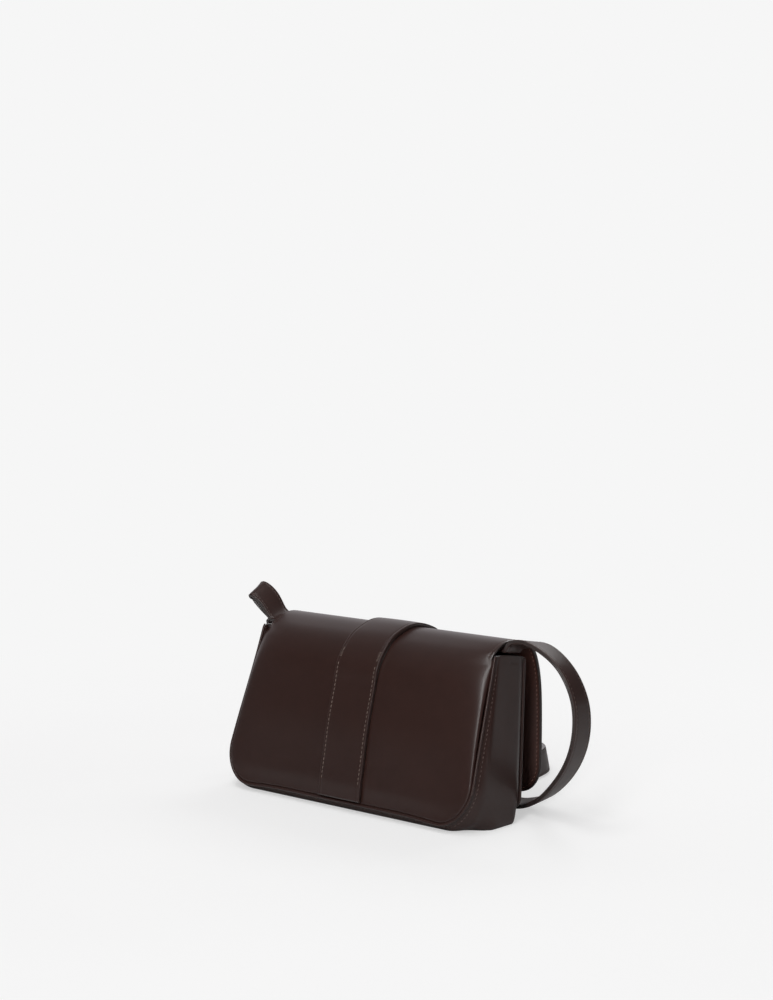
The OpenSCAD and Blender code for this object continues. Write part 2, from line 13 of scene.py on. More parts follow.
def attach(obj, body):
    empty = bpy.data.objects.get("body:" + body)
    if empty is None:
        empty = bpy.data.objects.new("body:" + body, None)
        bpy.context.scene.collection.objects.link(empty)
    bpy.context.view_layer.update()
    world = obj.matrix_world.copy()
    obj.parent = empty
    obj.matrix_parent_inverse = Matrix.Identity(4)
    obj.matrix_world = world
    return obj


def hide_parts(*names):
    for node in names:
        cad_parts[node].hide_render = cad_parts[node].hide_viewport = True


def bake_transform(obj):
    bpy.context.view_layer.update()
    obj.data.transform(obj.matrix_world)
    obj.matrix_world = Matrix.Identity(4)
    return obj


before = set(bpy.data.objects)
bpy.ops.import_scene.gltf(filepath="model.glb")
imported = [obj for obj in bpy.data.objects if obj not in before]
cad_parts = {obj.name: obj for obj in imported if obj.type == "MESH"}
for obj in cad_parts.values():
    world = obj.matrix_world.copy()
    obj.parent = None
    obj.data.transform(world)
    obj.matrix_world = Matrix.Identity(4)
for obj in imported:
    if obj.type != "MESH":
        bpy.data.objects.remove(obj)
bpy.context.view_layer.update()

MM = 0.001

# %% [markdown]
# ## Camera
# The camera stands behind the bag, turned towards its left end and looking slightly down. It is
# given by the point it looks at, two angles and a distance.

# %% Camera
AZIMUTH, PITCH = np.radians(221.0), np.radians(5.425)
LOOKS_AT = np.array([-0.0187, 0.01865, 0.23251])
DISTANCE, LENS_MM, SENSOR_MM = 1.49655, 72.57, 36.0

level = np.cos(PITCH)
camera_back = np.array([np.sin(AZIMUTH) * level, -np.cos(AZIMUTH) * level, np.sin(PITCH)])
camera_right = np.array([np.cos(AZIMUTH), np.sin(AZIMUTH), 0.0])
camera_up = np.cross(camera_back, camera_right)
stand = LOOKS_AT + camera_back * DISTANCE
camera = bpy.data.objects.new("camera", bpy.data.cameras.new("camera"))
camera.data.lens, camera.data.sensor_width = LENS_MM, SENSOR_MM
camera.matrix_world = Matrix([[*row, place] for row, place in zip(
    np.stack([camera_right, camera_up, camera_back], 1), stand)] + [[0, 0, 0, 1]])
bpy.context.scene.collection.objects.link(camera)
bpy.context.scene.camera = camera
print("camera at", np.round(stand, 3))

# %% [markdown]
# ## From grids of points to closed skins
# Each piece of leather is a sheet with two faces that meet in a rounded edge. A sheet could be one
# surface with a Solidify modifier, but then its edge would be square everywhere. Here both faces are
# grids with the same rows and columns that share the points of their border, so the skin is closed
# and each edge gets its own round. A grid is worked out with whole arrays, and a mesh is filled from
# the arrays at once.


# %% Helpers for meshes
def mix(a, b, t):
    """The value that lies the share t of the way from a to b."""
    return a + (b - a) * t


def ease(t):
    """A soft step from 0 to 1: t squared times (3 - 2 t), level at both ends."""
    t = np.clip(t, 0, 1)
    return t * t * (3 - 2 * t)


def unit(v):
    """Each vector divided by its length."""
    return v / np.maximum(np.linalg.norm(v, axis=-1, keepdims=True), 1e-12)


def bend(knots, t):
    """A smooth curve through evenly spaced knots: between two knots it is the cubic that leaves each
    of them in the direction from the knot before to the knot after."""
    knots = np.asarray(knots, float)
    last = len(knots) - 1
    place = np.clip(t, 0, 1) * last
    i = np.minimum(place.astype(int), last - 1)
    f = place - i
    f = f[..., None] if knots.ndim > 1 else f
    a, b, c, d = (knots[np.clip(i + k, 0, last)] for k in (-1, 0, 1, 2))
    return (b + f * (c - a) / 2 + f ** 2 * (a - 2.5 * b + 2 * c - d / 2)
            + f ** 3 * (3 * (b - c) + d - a) / 2)


def add_mesh(name, points, quads, tris=(), **marks):
    """A mesh object from points in millimetres. If its faces point inwards, which a negative sum of
    the tetrahedra that they make with the origin shows, all of them are turned round. marks are
    values for each point that the materials read."""
    points = np.asarray(points, float)
    quads = np.asarray(quads, int).reshape(-1, 4)
    tris = np.asarray(tris, int).reshape(-1, 3)
    a, b, c, d = (points[quads[:, k]] for k in range(4))
    e, f, g = (points[tris[:, k]] for k in range(3))
    volume = ((np.cross(a, b) * c).sum() + (np.cross(a, c) * d).sum() + (np.cross(e, f) * g).sum()) / 6
    if volume < 0:
        quads, tris = quads[:, ::-1], tris[:, ::-1]
    mesh = bpy.data.meshes.new(name)
    mesh.vertices.add(len(points))
    mesh.vertices.foreach_set("co", (points * MM).astype(np.float32).ravel())
    corners = np.concatenate([quads.ravel(), tris.ravel()])
    mesh.loops.add(len(corners))
    mesh.loops.foreach_set("vertex_index", corners.astype(np.int32))
    starts = np.concatenate([np.arange(len(quads)) * 4, quads.size + np.arange(len(tris)) * 3])
    mesh.polygons.add(len(starts))
    mesh.polygons.foreach_set("loop_start", starts.astype(np.int32))
    mesh.polygons.foreach_set("use_smooth", np.ones(len(starts), bool))
    mesh.update(calc_edges=True)
    for mark, values in marks.items():
        values = np.asarray(values, np.float32)
        kind = "FLOAT_VECTOR" if values.ndim > 1 else "FLOAT"
        mesh.attributes.new(mark, kind, "POINT").data.foreach_set(
            "vector" if values.ndim > 1 else "value", values.ravel())
    piece = bpy.data.objects.new(name, mesh)
    bpy.context.scene.collection.objects.link(piece)
    print(f"{name}: {len(points)} points, {abs(volume) / 1000:.2f} cm3")
    return piece


def lengths_along(grid, axis):
    """Millimetres travelled along the rows (axis 0) or the columns (axis 1) of a grid."""
    step = np.linalg.norm(np.diff(grid, axis=axis), axis=-1)
    return np.concatenate([np.zeros_like(step.take([0], axis)), np.cumsum(step, axis)], axis)


def skin(name, top, low, rim):
    """A closed skin from two grids that share the top grid's border. It carries two marks: rim, how
    far each point is from the cut edge, and weave, how far it is across and along the sheet."""
    rows, cols = top.shape[:2]
    number = np.arange(rows * cols).reshape(rows, cols)
    under = number + rows * cols
    under[[0, -1]] = number[[0, -1]]
    under[:, [0, -1]] = number[:, [0, -1]]
    quads = np.concatenate([
        np.stack([g[:-1, :-1], g[:-1, 1:], g[1:, 1:], g[1:, :-1]], -1).reshape(-1, 4)
        for g in (number, under[::-1])])
    used, quads = np.unique(quads, return_inverse=True)
    points = np.concatenate([top.reshape(-1, 3), low.reshape(-1, 3)])[used]
    across = lengths_along(top, 1)
    across -= across[:, cols // 2][:, None]
    weave = np.stack([across, lengths_along(top, 0), np.zeros((rows, cols))], -1).reshape(-1, 3) * MM
    return add_mesh(name, points, quads.reshape(-1, 4), rim=np.tile(rim.ravel(), 2)[used],
                    weave=np.tile(weave, (2, 1))[used])


def ring_quads(number):
    """Faces between rows of point numbers, where each row is a closed ring."""
    after = np.roll(number, -1, 1)
    return np.stack([number[:-1], after[:-1], after[1:], number[1:]], -1).reshape(-1, 4)


def cap(pole, ring):
    """Triangles from one point to the first ring of such rows, wound as their faces are. The last
    ring is given reversed."""
    return np.stack([np.full(len(ring), pole), np.roll(ring, -1), ring], 1)


def swept(name, rings, poles=None, **marks):
    """A skin over rings of points. A point beyond each end closes it. Without those two poles the
    last ring joins the first."""
    number = np.arange(rings[..., 0].size).reshape(rings.shape[:2])
    points = rings.reshape(-1, 3)
    if poles is None:
        return add_mesh(name, points, ring_quads(np.concatenate([number, number[:1]])), **marks)
    ends = np.concatenate([cap(number.size, number[0]), cap(number.size + 1, number[-1, ::-1])])
    return add_mesh(name, np.concatenate([points, poles]), ring_quads(number), ends, **marks)


def from_ends(count):
    """How many places each place in a row of that many is from the row's nearer end."""
    return np.minimum(np.arange(count), np.arange(count)[::-1])


def sheet(x, y, z):
    """A grid of points from its three coordinates, each given for rows, columns or both."""
    return np.stack(np.broadcast_arrays(x, y, z), -1)


def normals(grid, row, column, axis, way=1):
    """Unit normals of a grid: the cross product of its directions along the rows and columns, with
    the sign that makes the one at row and column point the given way along the axis."""
    up = unit(np.cross(np.gradient(grid, axis=1), np.gradient(grid, axis=0)))
    return up * way * np.sign(up[row, column, axis])


def turn_down(rim, reach, depth):
    """How far a face dips near an edge: a quarter of an ellipse that is depth deep at the edge and
    level from reach on."""
    near = np.clip(1 - rim / reach, 0, 1)
    return depth * (1 - np.sqrt(1 - near ** 2))


def groove(rim, place, depth, width=0.55):
    """A soft furrow, as a sewn line presses into leather: a bell curve over the distance to it."""
    return depth * np.exp(-((rim - place) / width) ** 2)


def columns(half, fixed, inner):
    """Places across a sheet from -half to half: fixed distances from both edges, and even shares
    between. half is one number for each row."""
    fixed = np.asarray(fixed, float)
    rest = np.linspace(-1, 1, inner + 2)[1:-1]
    half = np.asarray(half, float)[:, None]
    return np.concatenate([fixed - half, rest * (half - fixed[-1]), half - fixed[::-1]], 1)


def crowded(low, high, inner, steps, high_steps=None):
    """Heights from low to high that crowd together at both ends: the steps in from each end, and
    even ones between."""
    high_steps = steps if high_steps is None else high_steps
    between = np.linspace(low + steps[-1], high - high_steps[-1], inner)[1:-1]
    return np.concatenate([low + steps, between, high - high_steps[::-1]])


# Distances from an edge at which rows or columns crowd together, so that its round shows: an edge
# that turns into a seam, a cut edge of the outer leather, and the edge of a thin sheet.
TURNED = np.array([0, .12, .3, .6, 1.0, 1.5, 2.1, 2.8, 3.6, 4.5])
CUT = np.array([0, .12, .3, .6, .9, 1.3, 1.8, 2.3, 2.7, 3.1, 3.6, 4.5])
THIN = np.array([0, .12, .3, .6, 1.2, 2.5])

# The edge of a strip of two layers: distance from the side and share of the half thickness, from
# the joint between the layers over one layer's round lip to its face.
LIP = np.array([(.35, 1), (.12, .88), (0, .66), (.05, .38), (.2, .18), (.45, .05), (.8, 0)])
LIP_PATH = np.concatenate([[0], np.cumsum(np.hypot(*(np.diff(LIP, axis=0) * [1, 1.4]).T))])


def two_layers(half, beyond, inner):
    """Places across a strip with lips at both sides, the share that each lies below its face, and
    how far each is from the joint: walked over the lip, and on from there straight inwards."""
    x = columns(half, np.concatenate([LIP[:, 0], beyond]), inner)
    face = np.zeros(x.shape[1] - 2 * len(LIP))
    drop = np.concatenate([LIP[:, 1], face, LIP[::-1, 1]])
    over_lip = np.concatenate([LIP_PATH, face, LIP_PATH[::-1]])
    inwards = np.asarray(half)[:, None] - np.abs(x) + LIP_PATH[-1] - LIP[-1, 0]
    return x, drop, np.where(from_ends(x.shape[1]) < len(LIP), over_lip, inwards)


def finish_piece(piece, body, slot, *nodes, crease=None, finish=None):
    """Parents a piece to the empty of its body, gives it the material of its slot, or finish if one is
    given, and hides the frame's solids that it stands for. A piece with a crease runs over the hinge:
    it is left without a body, with its transform baked, and nothing here bends it."""
    if crease:
        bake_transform(piece)
    else:
        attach(piece, body)
    if nodes:
        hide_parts(*nodes)
    piece.data.materials.append(finish or finishes[slot])
    return piece


# %% [markdown]
# ## Materials as expressions
# A material is a tree of nodes. Built node by node, a mask of three noises is twenty lines that no
# one can read. The class below wraps one output of a node, and its operators add the Math node that
# works them out, so that a mask can be written as an ordinary sum.


# %% Shader expressions
class Field:
    """A value that varies over a surface: one output socket of a material's node tree."""

    def __init__(self, tree, socket):
        self.tree, self.socket = tree, socket

    def node(self, kind, settings=None, *values, out=0, at=None, **named):
        """Adds a node: settings first, then the values or links of its sockets, in order, by number
        in at, or by name."""
        made = self.tree.nodes.new(kind)
        for key, value in (settings or {}).items():
            setattr(made, key, value)
        for key, value in [*enumerate(values), *(at or {}).items(), *named.items()]:
            socket = made.inputs[key if isinstance(key, int) else key.replace("_", " ")]
            if isinstance(value, Field):
                self.tree.links.new(value.socket, socket)
            else:
                socket.default_value = value
        return Field(self.tree, made.outputs[out])

    def math(self, operation, *values):
        """Adds a Math node."""
        return self.node("ShaderNodeMath", {"operation": operation}, *values)

    def __add__(self, other):
        return self.math("ADD", self, other)

    def __sub__(self, other):
        return self.math("SUBTRACT", self, other)

    def __mul__(self, other):
        return self.math("MULTIPLY", self, other)

    def __rsub__(self, other):
        return self.math("SUBTRACT", other, self)

    def __truediv__(self, other):
        return self.math("DIVIDE", self, other)

    def __rtruediv__(self, other):
        return self.math("DIVIDE", other, self)

    __radd__, __rmul__ = __add__, __mul__

    def clip(self):
        """Holds the value between 0 and 1."""
        return self.node("ShaderNodeClamp", None, self)

    def noise(self, scale, detail=2.0):
        """Noise at this place: scale cells to the metre, and detail octaves."""
        return self.node("ShaderNodeTexNoise", None, Vector=self, Scale=scale, Detail=detail)

    def bump(self, strength, distance, **below):
        """The normal of a surface that this value raises."""
        return self.node("ShaderNodeBump", None, Strength=strength, Distance=distance, Height=self, **below)

    def part(self, axis):
        """One coordinate of a vector."""
        return self.node("ShaderNodeSeparateXYZ", None, self, out=axis)

    def wave(self, length):
        """A sine wave between 0 and 1 that repeats after the given length."""
        return self.math("SINE", self * (2 * np.pi / length)) * 0.5 + 0.5

    def step(self, low, high):
        """Rises softly from 0 to 1 between low and high."""
        return self.node("ShaderNodeMapRange", {"interpolation_type": "SMOOTHSTEP"}, self, low, high, 0.0, 1.0)

    def blend(self, first, second):
        """Mixes two colours by this value."""
        first, second = (c if isinstance(c, Field) else (*c, 1) for c in (first, second))
        return self.node("ShaderNodeMix", {"data_type": "RGBA"}, self, out=2, at={6: first, 7: second})


def start_material(name):
    """A material with only its output and its main shader; returns it, its shader and its Object
    coordinates, in metres."""
    material = bpy.data.materials.new(name)
    material.use_nodes = True
    place = Field(material.node_tree, None).node("ShaderNodeTexCoord", out=3)
    return material, material.node_tree.nodes["Principled BSDF"], place


def set_sockets(shader, **values):
    """Sets or links the shader's sockets by name."""
    for key, value in values.items():
        socket = shader.inputs[key.replace("_", " ")]
        if isinstance(value, Field):
            value.tree.links.new(value.socket, socket)
        else:
            socket.default_value = value


# %% [markdown]
# ## Leather
# The bag's leather is smooth and corrected: an almost even chocolate brown under a satin finish.
# What the eye still finds is a very fine pebble, pores, a slow change of tone, a slow change of
# gloss, and paint on the cut edges, with a dark line where two layers meet. On the outer leathers
# that paint is lighter than the face, partly as a painted highlight where the edge's round would
# catch the light. All of these are noises at their true scale on the object's own coordinates.


# %% Leather
def leather(name, tone, deep, gloss, grain=1.0, edge=(0.040, 0.026, 0.023)):
    """Smooth leather. tone and deep are its two browns, gloss its roughness, grain how strongly the
    pebble shows, and edge the paint on its cut edge, with a dark line where two layers meet. The
    default edge is lighter than the face: edge paint, and a painted highlight on the edge's round."""
    material, shader, place = start_material(name)
    slow, cloud, pores = place.noise(14.0, 3.0), place.noise(70.0, 4.0), place.noise(4200.0)
    pebble = place.node("ShaderNodeTexVoronoi", {"feature": "SMOOTH_F1"}, Vector=place, Scale=1500.0)
    rim = place.node("ShaderNodeAttribute", {"attribute_name": "rim"}, out=2)
    # edge paint near the cut edge; where its colour is lighter than the face, it is also a painted highlight
    edge_paint_and_highlight, joint = 1 - rim.step(0.7, 1.3), 1 - rim.step(0.05, 0.30)
    brown = (slow * 0.6 + cloud * 0.4).step(0.32, 0.68).blend(tone, deep)
    grains = (pebble * 0.7 + pores * 0.3).bump(0.12 * grain, 0.0001)
    set_sockets(shader, Base_Color=joint.blend(edge_paint_and_highlight.blend(brown, edge), (0.007, 0.004, 0.004)),
                Normal=cloud.bump(0.10, 0.0006, Normal=grains), Coat_Weight=edge_paint_and_highlight * 0.5 + 0.1,
                Roughness=(gloss - 0.04) + slow * 0.05 + pores * 0.04 - edge_paint_and_highlight * 0.06,
                Specular_IOR_Level=0.45, Coat_Roughness=0.18)
    return material


finishes = {
    "leather": leather("bag leather", (0.0350, 0.0140, 0.0108), (0.0300, 0.0118, 0.0090), 0.36),
    "band_leather": leather("band leather", (0.0350, 0.0142, 0.0110), (0.0305, 0.0122, 0.0094), 0.37),
    "strap_leather": leather("strap leather", (0.0370, 0.0152, 0.0122), (0.0320, 0.0130, 0.0103), 0.40),
    "inner_leather": leather("facing leather", (0.0390, 0.0180, 0.0135), (0.0330, 0.0150, 0.0112), 0.50),
    "flap_lining": leather("flap lining", (0.0620, 0.0215, 0.0150), (0.0520, 0.0180, 0.0125), 0.55, 1.6,
                           (0.020, 0.010, 0.008)),
}
print("leathers:", ", ".join(finishes))

# %% [markdown]
# ## Strap
# The strap is a flat strip of two layers, sewn along both edges. It is free, so what matters is its
# length and how it lies: it leaves the left end of the mouth, bows out and down to the floor, lies
# hidden in loose curves in front of the bag, and stands up at the right end to go back in. A cloth
# simulation could let it fall, but not into the shape that the photograph shows. So its middle line
# and the direction of its width are given at forty places and joined by a smooth curve, and
# the cross-section is carried along that curve.

# %% Strap
STRAP_HALF, STRAP_DEEP = 10.0, 1.6
STRAP_STITCH, STRAP_CROWN = 2.3, 0.12
ROUTE = np.array([
    [-112.5, -10.5, 124.5, 0, 1, .18], [-115, -10.9, 127.3, -.1, 1, .15],
    [-119.9, -10.8, 131.2, .05, 1, .26], [-131.5, -10.7, 133.7, .1, 1, .17],
    [-147.2, -10.5, 129.6, -.06, 1, .04], [-164.2, -10.3, 117, -.03, 1, .14],
    [-175, -10.7, 96.5, -.05, 1, .1], [-174, -14, 73, -.02, 1, .03], [-164.2, -19.3, 50.8, 0, 1, 0],
    [-146.5, -27, 30.5, -.02, 1, 0], [-122.4, -38.3, 12.8, -.11, 1, -.03], [-98.2, -47, 3.8, -.09, 1, -.1],
    [-77.4, -52, 2.9, -.04, 1, .1], [-40, -58, 2.5, 0, 1, 0], [0, -65, 5.5, 0, .92, .4],
    [36, -71, 10.5, 0, .4, .9], [74, -84, 11, 0, 0, 1], [82, -102, 11, 0, 0, 1], [60, -113, 11, 0, 0, 1],
    [14, -98, 11, 0, 0, 1], [-22, -94, 11, 0, 0, 1], [-49, -107, 11, .1, .1, 1],
    [-48.5, -129.5, 11.2, .14, .12, 1], [-37, -158.8, 11.3, .14, .12, 1], [2, -173, 11.2, .08, .06, 1],
    [62, -167, 11, 0, 0, 1], [116, -139, 11, .1, 0, 1], [142, -102, 11, .5, 0, .87],
    [147, -70, 14, 1, 0, .3], [144, -48, 34, .8, .6, .1], [138, -33, 68, .4, .9, 0],
    [133.5, -24, 104, .1, 1, 0], [133, -18, 128, 0, 1, -.2], [134.1, -10.7, 134.1, -.46, .94, -.26],
    [142.4, -7.9, 143.8, -.45, .9, -.34], [139.2, -4.9, 149.1, -.03, .86, -.42],
    [129.9, -8, 142.3, 0, .86, -.35], [121.1, -9.5, 129.3, -.14, .94, -.36],
    [113.8, -10.6, 127.9, 0, 1, .04], [112.5, -10.5, 124.5, 0, 1, .18]])


def smooth(values, width, times):
    """Evens a row of values out: each becomes the mean of those up to width away, times over. The
    ends stay, because the values beyond them are taken as mirrored through them."""
    for _ in range(times):
        head = 2 * values[:1] - values[width:0:-1]
        tail = 2 * values[-1:] - values[-2:-width - 2:-1]
        padded = np.concatenate([head, values, tail])
        total = np.cumsum(np.concatenate([np.zeros_like(padded[:1]), padded]), 0)
        values = (total[2 * width + 1:] - total[:-2 * width - 1]) / (2 * width + 1)
    return values


def strap_frames(count):
    """Middle points, directions of the width and directions of the thickness, at even lengths."""
    fine = smooth(bend(ROUTE, np.linspace(0, 1, 4000)), 30, 2)
    length = np.concatenate([[0], np.cumsum(np.linalg.norm(np.diff(fine[:, :3], axis=0), axis=1))])
    at = np.linspace(0, length[-1], count)
    middle, wide = np.split(np.stack([np.interp(at, length, row) for row in fine.T], 1), 2, 1)
    along = unit(np.gradient(middle, axis=0))
    wide = unit(wide - along * (wide * along).sum(1, keepdims=True))
    return middle, wide, np.cross(wide, along), length[-1]


middle, wide, thick, strap_length = strap_frames(900)
x, drop, rim = two_layers(np.full(len(middle), STRAP_HALF), [1.2, 1.6, 1.95, 2.3, 2.65, 3.1, 4.0], 9)
ends = from_ends(len(middle)) * strap_length / len(middle)
lift = STRAP_DEEP * (1 - drop) - groove(STRAP_HALF - np.abs(x), STRAP_STITCH, 0.16)
lift += STRAP_CROWN * np.maximum(1 - (np.abs(x) / (STRAP_HALF - LIP[-1, 0])) ** 2, 0)
lift *= 1 - turn_down(ends[:, None], 1.5, 1.0)
rim = np.minimum(rim, ends[:, None] + 0.3)
flat = middle[:, None] + wide[:, None] * x[..., None]
strap = skin("strap", flat + thick[:, None] * lift[..., None], flat - thick[:, None] * lift[..., None], rim)
finish_piece(strap, "body", "strap_leather", "strap")
print(f"strap: {strap_length:.0f} mm long, lowest point {(flat[..., 2] - lift).min():.2f} mm")

# %% [markdown]
# ## Stitches
# A stitch is a short thread that dips into the leather at both ends. Drawn in a texture it would
# stay flat where light rakes over it. So one small capsule of a few dozen faces is repeated along a
# line at even lengths, turned a little from the line's direction, as a sewn thread lies.


# %% Stitches
def stitches(name, *lines, pitch=3.3, long=2.3, thin=0.34, slant=0.10):
    """One mesh with a capsule at every pitch along each line. A line is its points and the unit
    normals of the surface under them. A capsule's rings shrink at its ends as an ellipse does."""
    spots = []
    for points, up in lines:
        length = lengths_along(points[:, None], 0)[:, 0]
        at = np.arange(pitch / 2, length[-1] - pitch / 4, pitch)
        points, up = (np.stack([np.interp(at, length, v[:, k]) for k in range(3)], 1) for v in (points, up))
        along, up = unit(np.gradient(points, axis=0)), unit(up)
        side = unit(np.cross(along, up))
        spots.append(np.stack([points, unit(along + side * slant), side, np.cross(side, along)], 1))
    spots = np.concatenate(spots)
    along_ring = np.repeat([-0.8, -0.4, 0.4, 0.8], 6)
    turn = np.tile(np.arange(6) * np.pi / 3, 4)
    size = thin * (1 - along_ring ** 2 * 0.75)
    shape = np.stack([along_ring * long / 2, np.cos(turn) * size * 1.25, np.sin(turn) * size
                      - along_ring ** 2 * thin * 0.6], 1)
    shape = np.concatenate([shape, [[-long / 2, 0, -thin * 0.8], [long / 2, 0, -thin * 0.8]]])
    points = spots[:, :1] + np.einsum("pk,skd->spd", shape, spots[:, 1:])
    ring = np.arange(18)
    nxt = ring // 6 * 6 + (ring + 1) % 6
    quads = np.stack([ring, nxt, nxt + 6, ring + 6], 1)
    corner = np.arange(6)
    tris = np.concatenate([np.stack([np.full(6, 24), (corner + 1) % 6, corner], 1),
                           np.stack([np.full(6, 25), corner + 18, (corner + 1) % 6 + 18], 1)])
    shift = np.arange(len(spots))[:, None, None] * len(shape)
    print(name, "has", len(spots), "stitches")
    return add_mesh(name, points.reshape(-1, 3), quads + shift, tris + shift)


def thread(name, tone):
    """Waxed thread: a brown a little lighter than the leather, with fine twisted plies."""
    material, shader, place = start_material(name)
    plies, slow = place.noise(2600.0, 1.0), place.noise(180.0)
    dark = tuple(0.6 * c for c in tone)
    set_sockets(shader, Base_Color=(plies * 0.5 + slow * 0.5).step(0.35, 0.65).blend(dark, tone),
                Roughness=0.5 + plies * 0.12, Normal=plies.bump(0.4, 0.0001))
    return material


brown_thread = thread("brown thread", (0.120, 0.078, 0.066))
pale_thread = thread("band thread", (0.200, 0.145, 0.120))
red_thread = thread("lining thread", (0.240, 0.120, 0.090))


def sew(name, body, slot, tone, *lines, crease=None, **sizes):
    """Stitches along the lines, on the body or over the crease."""
    return finish_piece(stitches(name, *lines, **sizes), body, slot, crease=crease, finish=tone)


strap_stitches = sew("strap_stitches", "body", "strap_leather", brown_thread, *[
    ((middle + wide * side * (STRAP_HALF - STRAP_STITCH) + thick * face * (STRAP_DEEP - 0.10))[8:-8],
     face * thick[8:-8]) for side in (-1, 1) for face in (-1, 1)])
tuple(middle[0] * MM)
round(strap_length * MM, 3)
(middle * MM).tolist()

# %% [markdown]
# ## The bag's outline
# These are the sizes of the paper pattern and the few curves that give the bag its form. The body
# leans: seen from its end it is wide at the foot and narrow at the mouth. Its panels are filled, so
# they stand proud of their seams. All formulas are in millimetres, with the middle of the back and
# front seams at y = 0, and MIDDLE moves them to the frame.

# %% Outline
MIDDLE = np.array([0.0, 18.65, 0.0])
FOOT_W, MOUTH_W = 240.0, 232.0
MOUTH_H, FRONT_TOP, SEAM_H = 125.0, 120.0, 8.0
BACK_FOOT, BACK_TOP, FRONT_TOP_Y = 31.75, -7.25, -42.25
CORNER, FRONT_CORNER = 27.0, 10.0
BACK_SWELL, FRONT_SWELL, SIDE_SWELL = 11.0, 15.6, 3.0
FLAP_HALF, FLAP_CORNER = 111.5, 22.0
FLAP_REACH, FLAP_RISE, FLAP_DROP = 63.4, 8.5, 113.0
END_PULL, CORNER_PULL, TURN_H = 1.5, 3.2, 13.0
CORNER_FILL, SETTLE, FAR_END = 3.5, 2.6, 3.6
SNAP_H = 44.96
LEATHER, LINING, LEAST = 1.8, 0.8, 0.02

# How full the back and the front are from the seam to the mouth, and the flap's middle line from
# the hinge to its lower edge, all at even steps. FLAP_STEP is its length for a whole t at that edge.
BACK_SHARES = [0, .25, .42, .62, .79, .86, .95, .98, .3]
FRONT_SHARES = [0, .74, 1, .98, .92, .86, .78, .68, .55]
FLAP_Y = np.array([0, .13, .28, .44, .6, .73, .85, .93, .985, 1, 1, .995, .99]) * FLAP_REACH
FLAP_Z = np.array([0, .5, .93, 1, .74, .39, -.01, -.11, -.25, -.4375, -.625, -.8125, -1])
FLAP_Z = np.where(FLAP_Z > 0, FLAP_Z * FLAP_RISE, FLAP_Z * FLAP_DROP)
FLAP_KNOTS = len(FLAP_Y) - 1
FLAP_STEP = 0.1875 * FLAP_KNOTS * FLAP_DROP


def half_width(z, inset, r, top):
    """Half the width at height z: round the lower corner as a circle of radius r less the inset,
    then along the leaning side."""
    turn_z = SEAM_H + r
    low = FOOT_W / 2 - r + np.sqrt(np.maximum((r - inset) ** 2 - (turn_z - z) ** 2, 0))
    high = mix(FOOT_W / 2, MOUTH_W / 2, np.maximum(z - turn_z, 0) / (top - turn_z)) - inset
    return np.where(z < turn_z, low, high)


def rim_distance(x, z, inset, r, top):
    """Distance of a panel's point from its outline: from the circle in a lower corner, elsewhere
    from the nearer of the side and the bottom."""
    in_corner = (np.abs(x) > FOOT_W / 2 - r) & (z < SEAM_H + r)
    corner = r - inset - np.hypot(np.abs(x) - FOOT_W / 2 + r, SEAM_H + r - z)
    straight = np.minimum(half_width(np.maximum(z, SEAM_H + r), inset, r, top) - np.abs(x), z - SEAM_H - inset)
    return np.maximum(np.where(in_corner, corner, straight), 0)


def back_seam_y(z):
    """The back seam leans forward on a straight line."""
    return mix(BACK_FOOT, BACK_TOP, (z - SEAM_H) / (MOUTH_H - SEAM_H))


def front_seam_y(z):
    """The front seam leans forward too, but less."""
    return mix(-BACK_FOOT, FRONT_TOP_Y, (z - SEAM_H) / (FRONT_TOP - SEAM_H))


def top_turn(z):
    """0 on the wall, 1 where the wall turns into the flap."""
    return ease((z - MOUTH_H + TURN_H) / TURN_H)


def swell_share(u, tight=0):
    """How much of the swell is left at the share u of the half width. The lining's swell falls to
    the seam in a wide round, 1 less the eighth power of u, a little flattened. The stiff outer
    leather, tight = 1, is a shallow dome, a fourth power, with a close turn at the seam."""
    u = np.minimum(np.abs(u), 1)
    return mix((1 - u ** 8) ** 0.8, 0.6 * (1 - u ** 4) + 0.4 * (1 - u ** 45) ** 0.8, tight)


def back_y(z, u, tight=0):
    """The back panel: seam line plus a swell that follows the height and falls off at the sides,
    less the pull of the flap on its upper corners, which rounds them."""
    swell = BACK_SWELL * bend(BACK_SHARES, (z - SEAM_H) / (MOUTH_H - SEAM_H))
    corner = CORNER_PULL * ease((z - 88) / 26) * np.abs(u) ** 14
    return back_seam_y(z) + swell * swell_share(u, tight) - END_PULL * top_turn(z) * np.abs(u) ** 6 - corner


def front_y(z, u):
    """The front panel, swollen the same way but to the front."""
    swell = FRONT_SWELL * bend(FRONT_SHARES, (z - SEAM_H) / (FRONT_TOP - SEAM_H))
    return front_seam_y(z) - swell * swell_share(u)


def flap_profile(t):
    """Middle line of the flap from the hinge, t = 0, to its lower edge, t = 1."""
    return BACK_TOP - bend(FLAP_Y, t), MOUTH_H + bend(FLAP_Z, t)


def settle(points):
    """The bag has sunk a little onto its lower back seam, most near the corners. The fall is a bell
    curve over the width times soft steps over the height and towards the back. Its far end is also a
    little wider at the foot, by soft steps over the width and the height."""
    x, y, z = (points[..., k] for k in range(3))
    wider = FAR_END * ease((x - 20) / 95) * (1 - ease((z - 15) / 100))
    share = 0.3 + 0.7 * np.exp(-((np.abs(x) - 98) / 22) ** 2)
    share = share * np.clip(z / SEAM_H, 0, 1) * (1 - ease((z - SEAM_H) / 60)) * ease((y + 6) / 30)
    return np.stack([x + wider, y, z - SETTLE * share], -1)


def inside(grid, up, depth):
    """The points that lie at that depth inside a surface, moved to the bag's place in the frame."""
    return grid + MIDDLE - up * np.asarray(depth)[..., None]


def leather_sheet(name, grid, up, top, low, rim):
    """A skin between two depths inside a surface; they stay at least LEAST apart."""
    return skin(name, inside(grid, up, top), inside(grid, up, np.maximum(low, top + LEAST)), rim)


print("flap reaches down to z =", flap_profile(np.array([1.0]))[1][0])
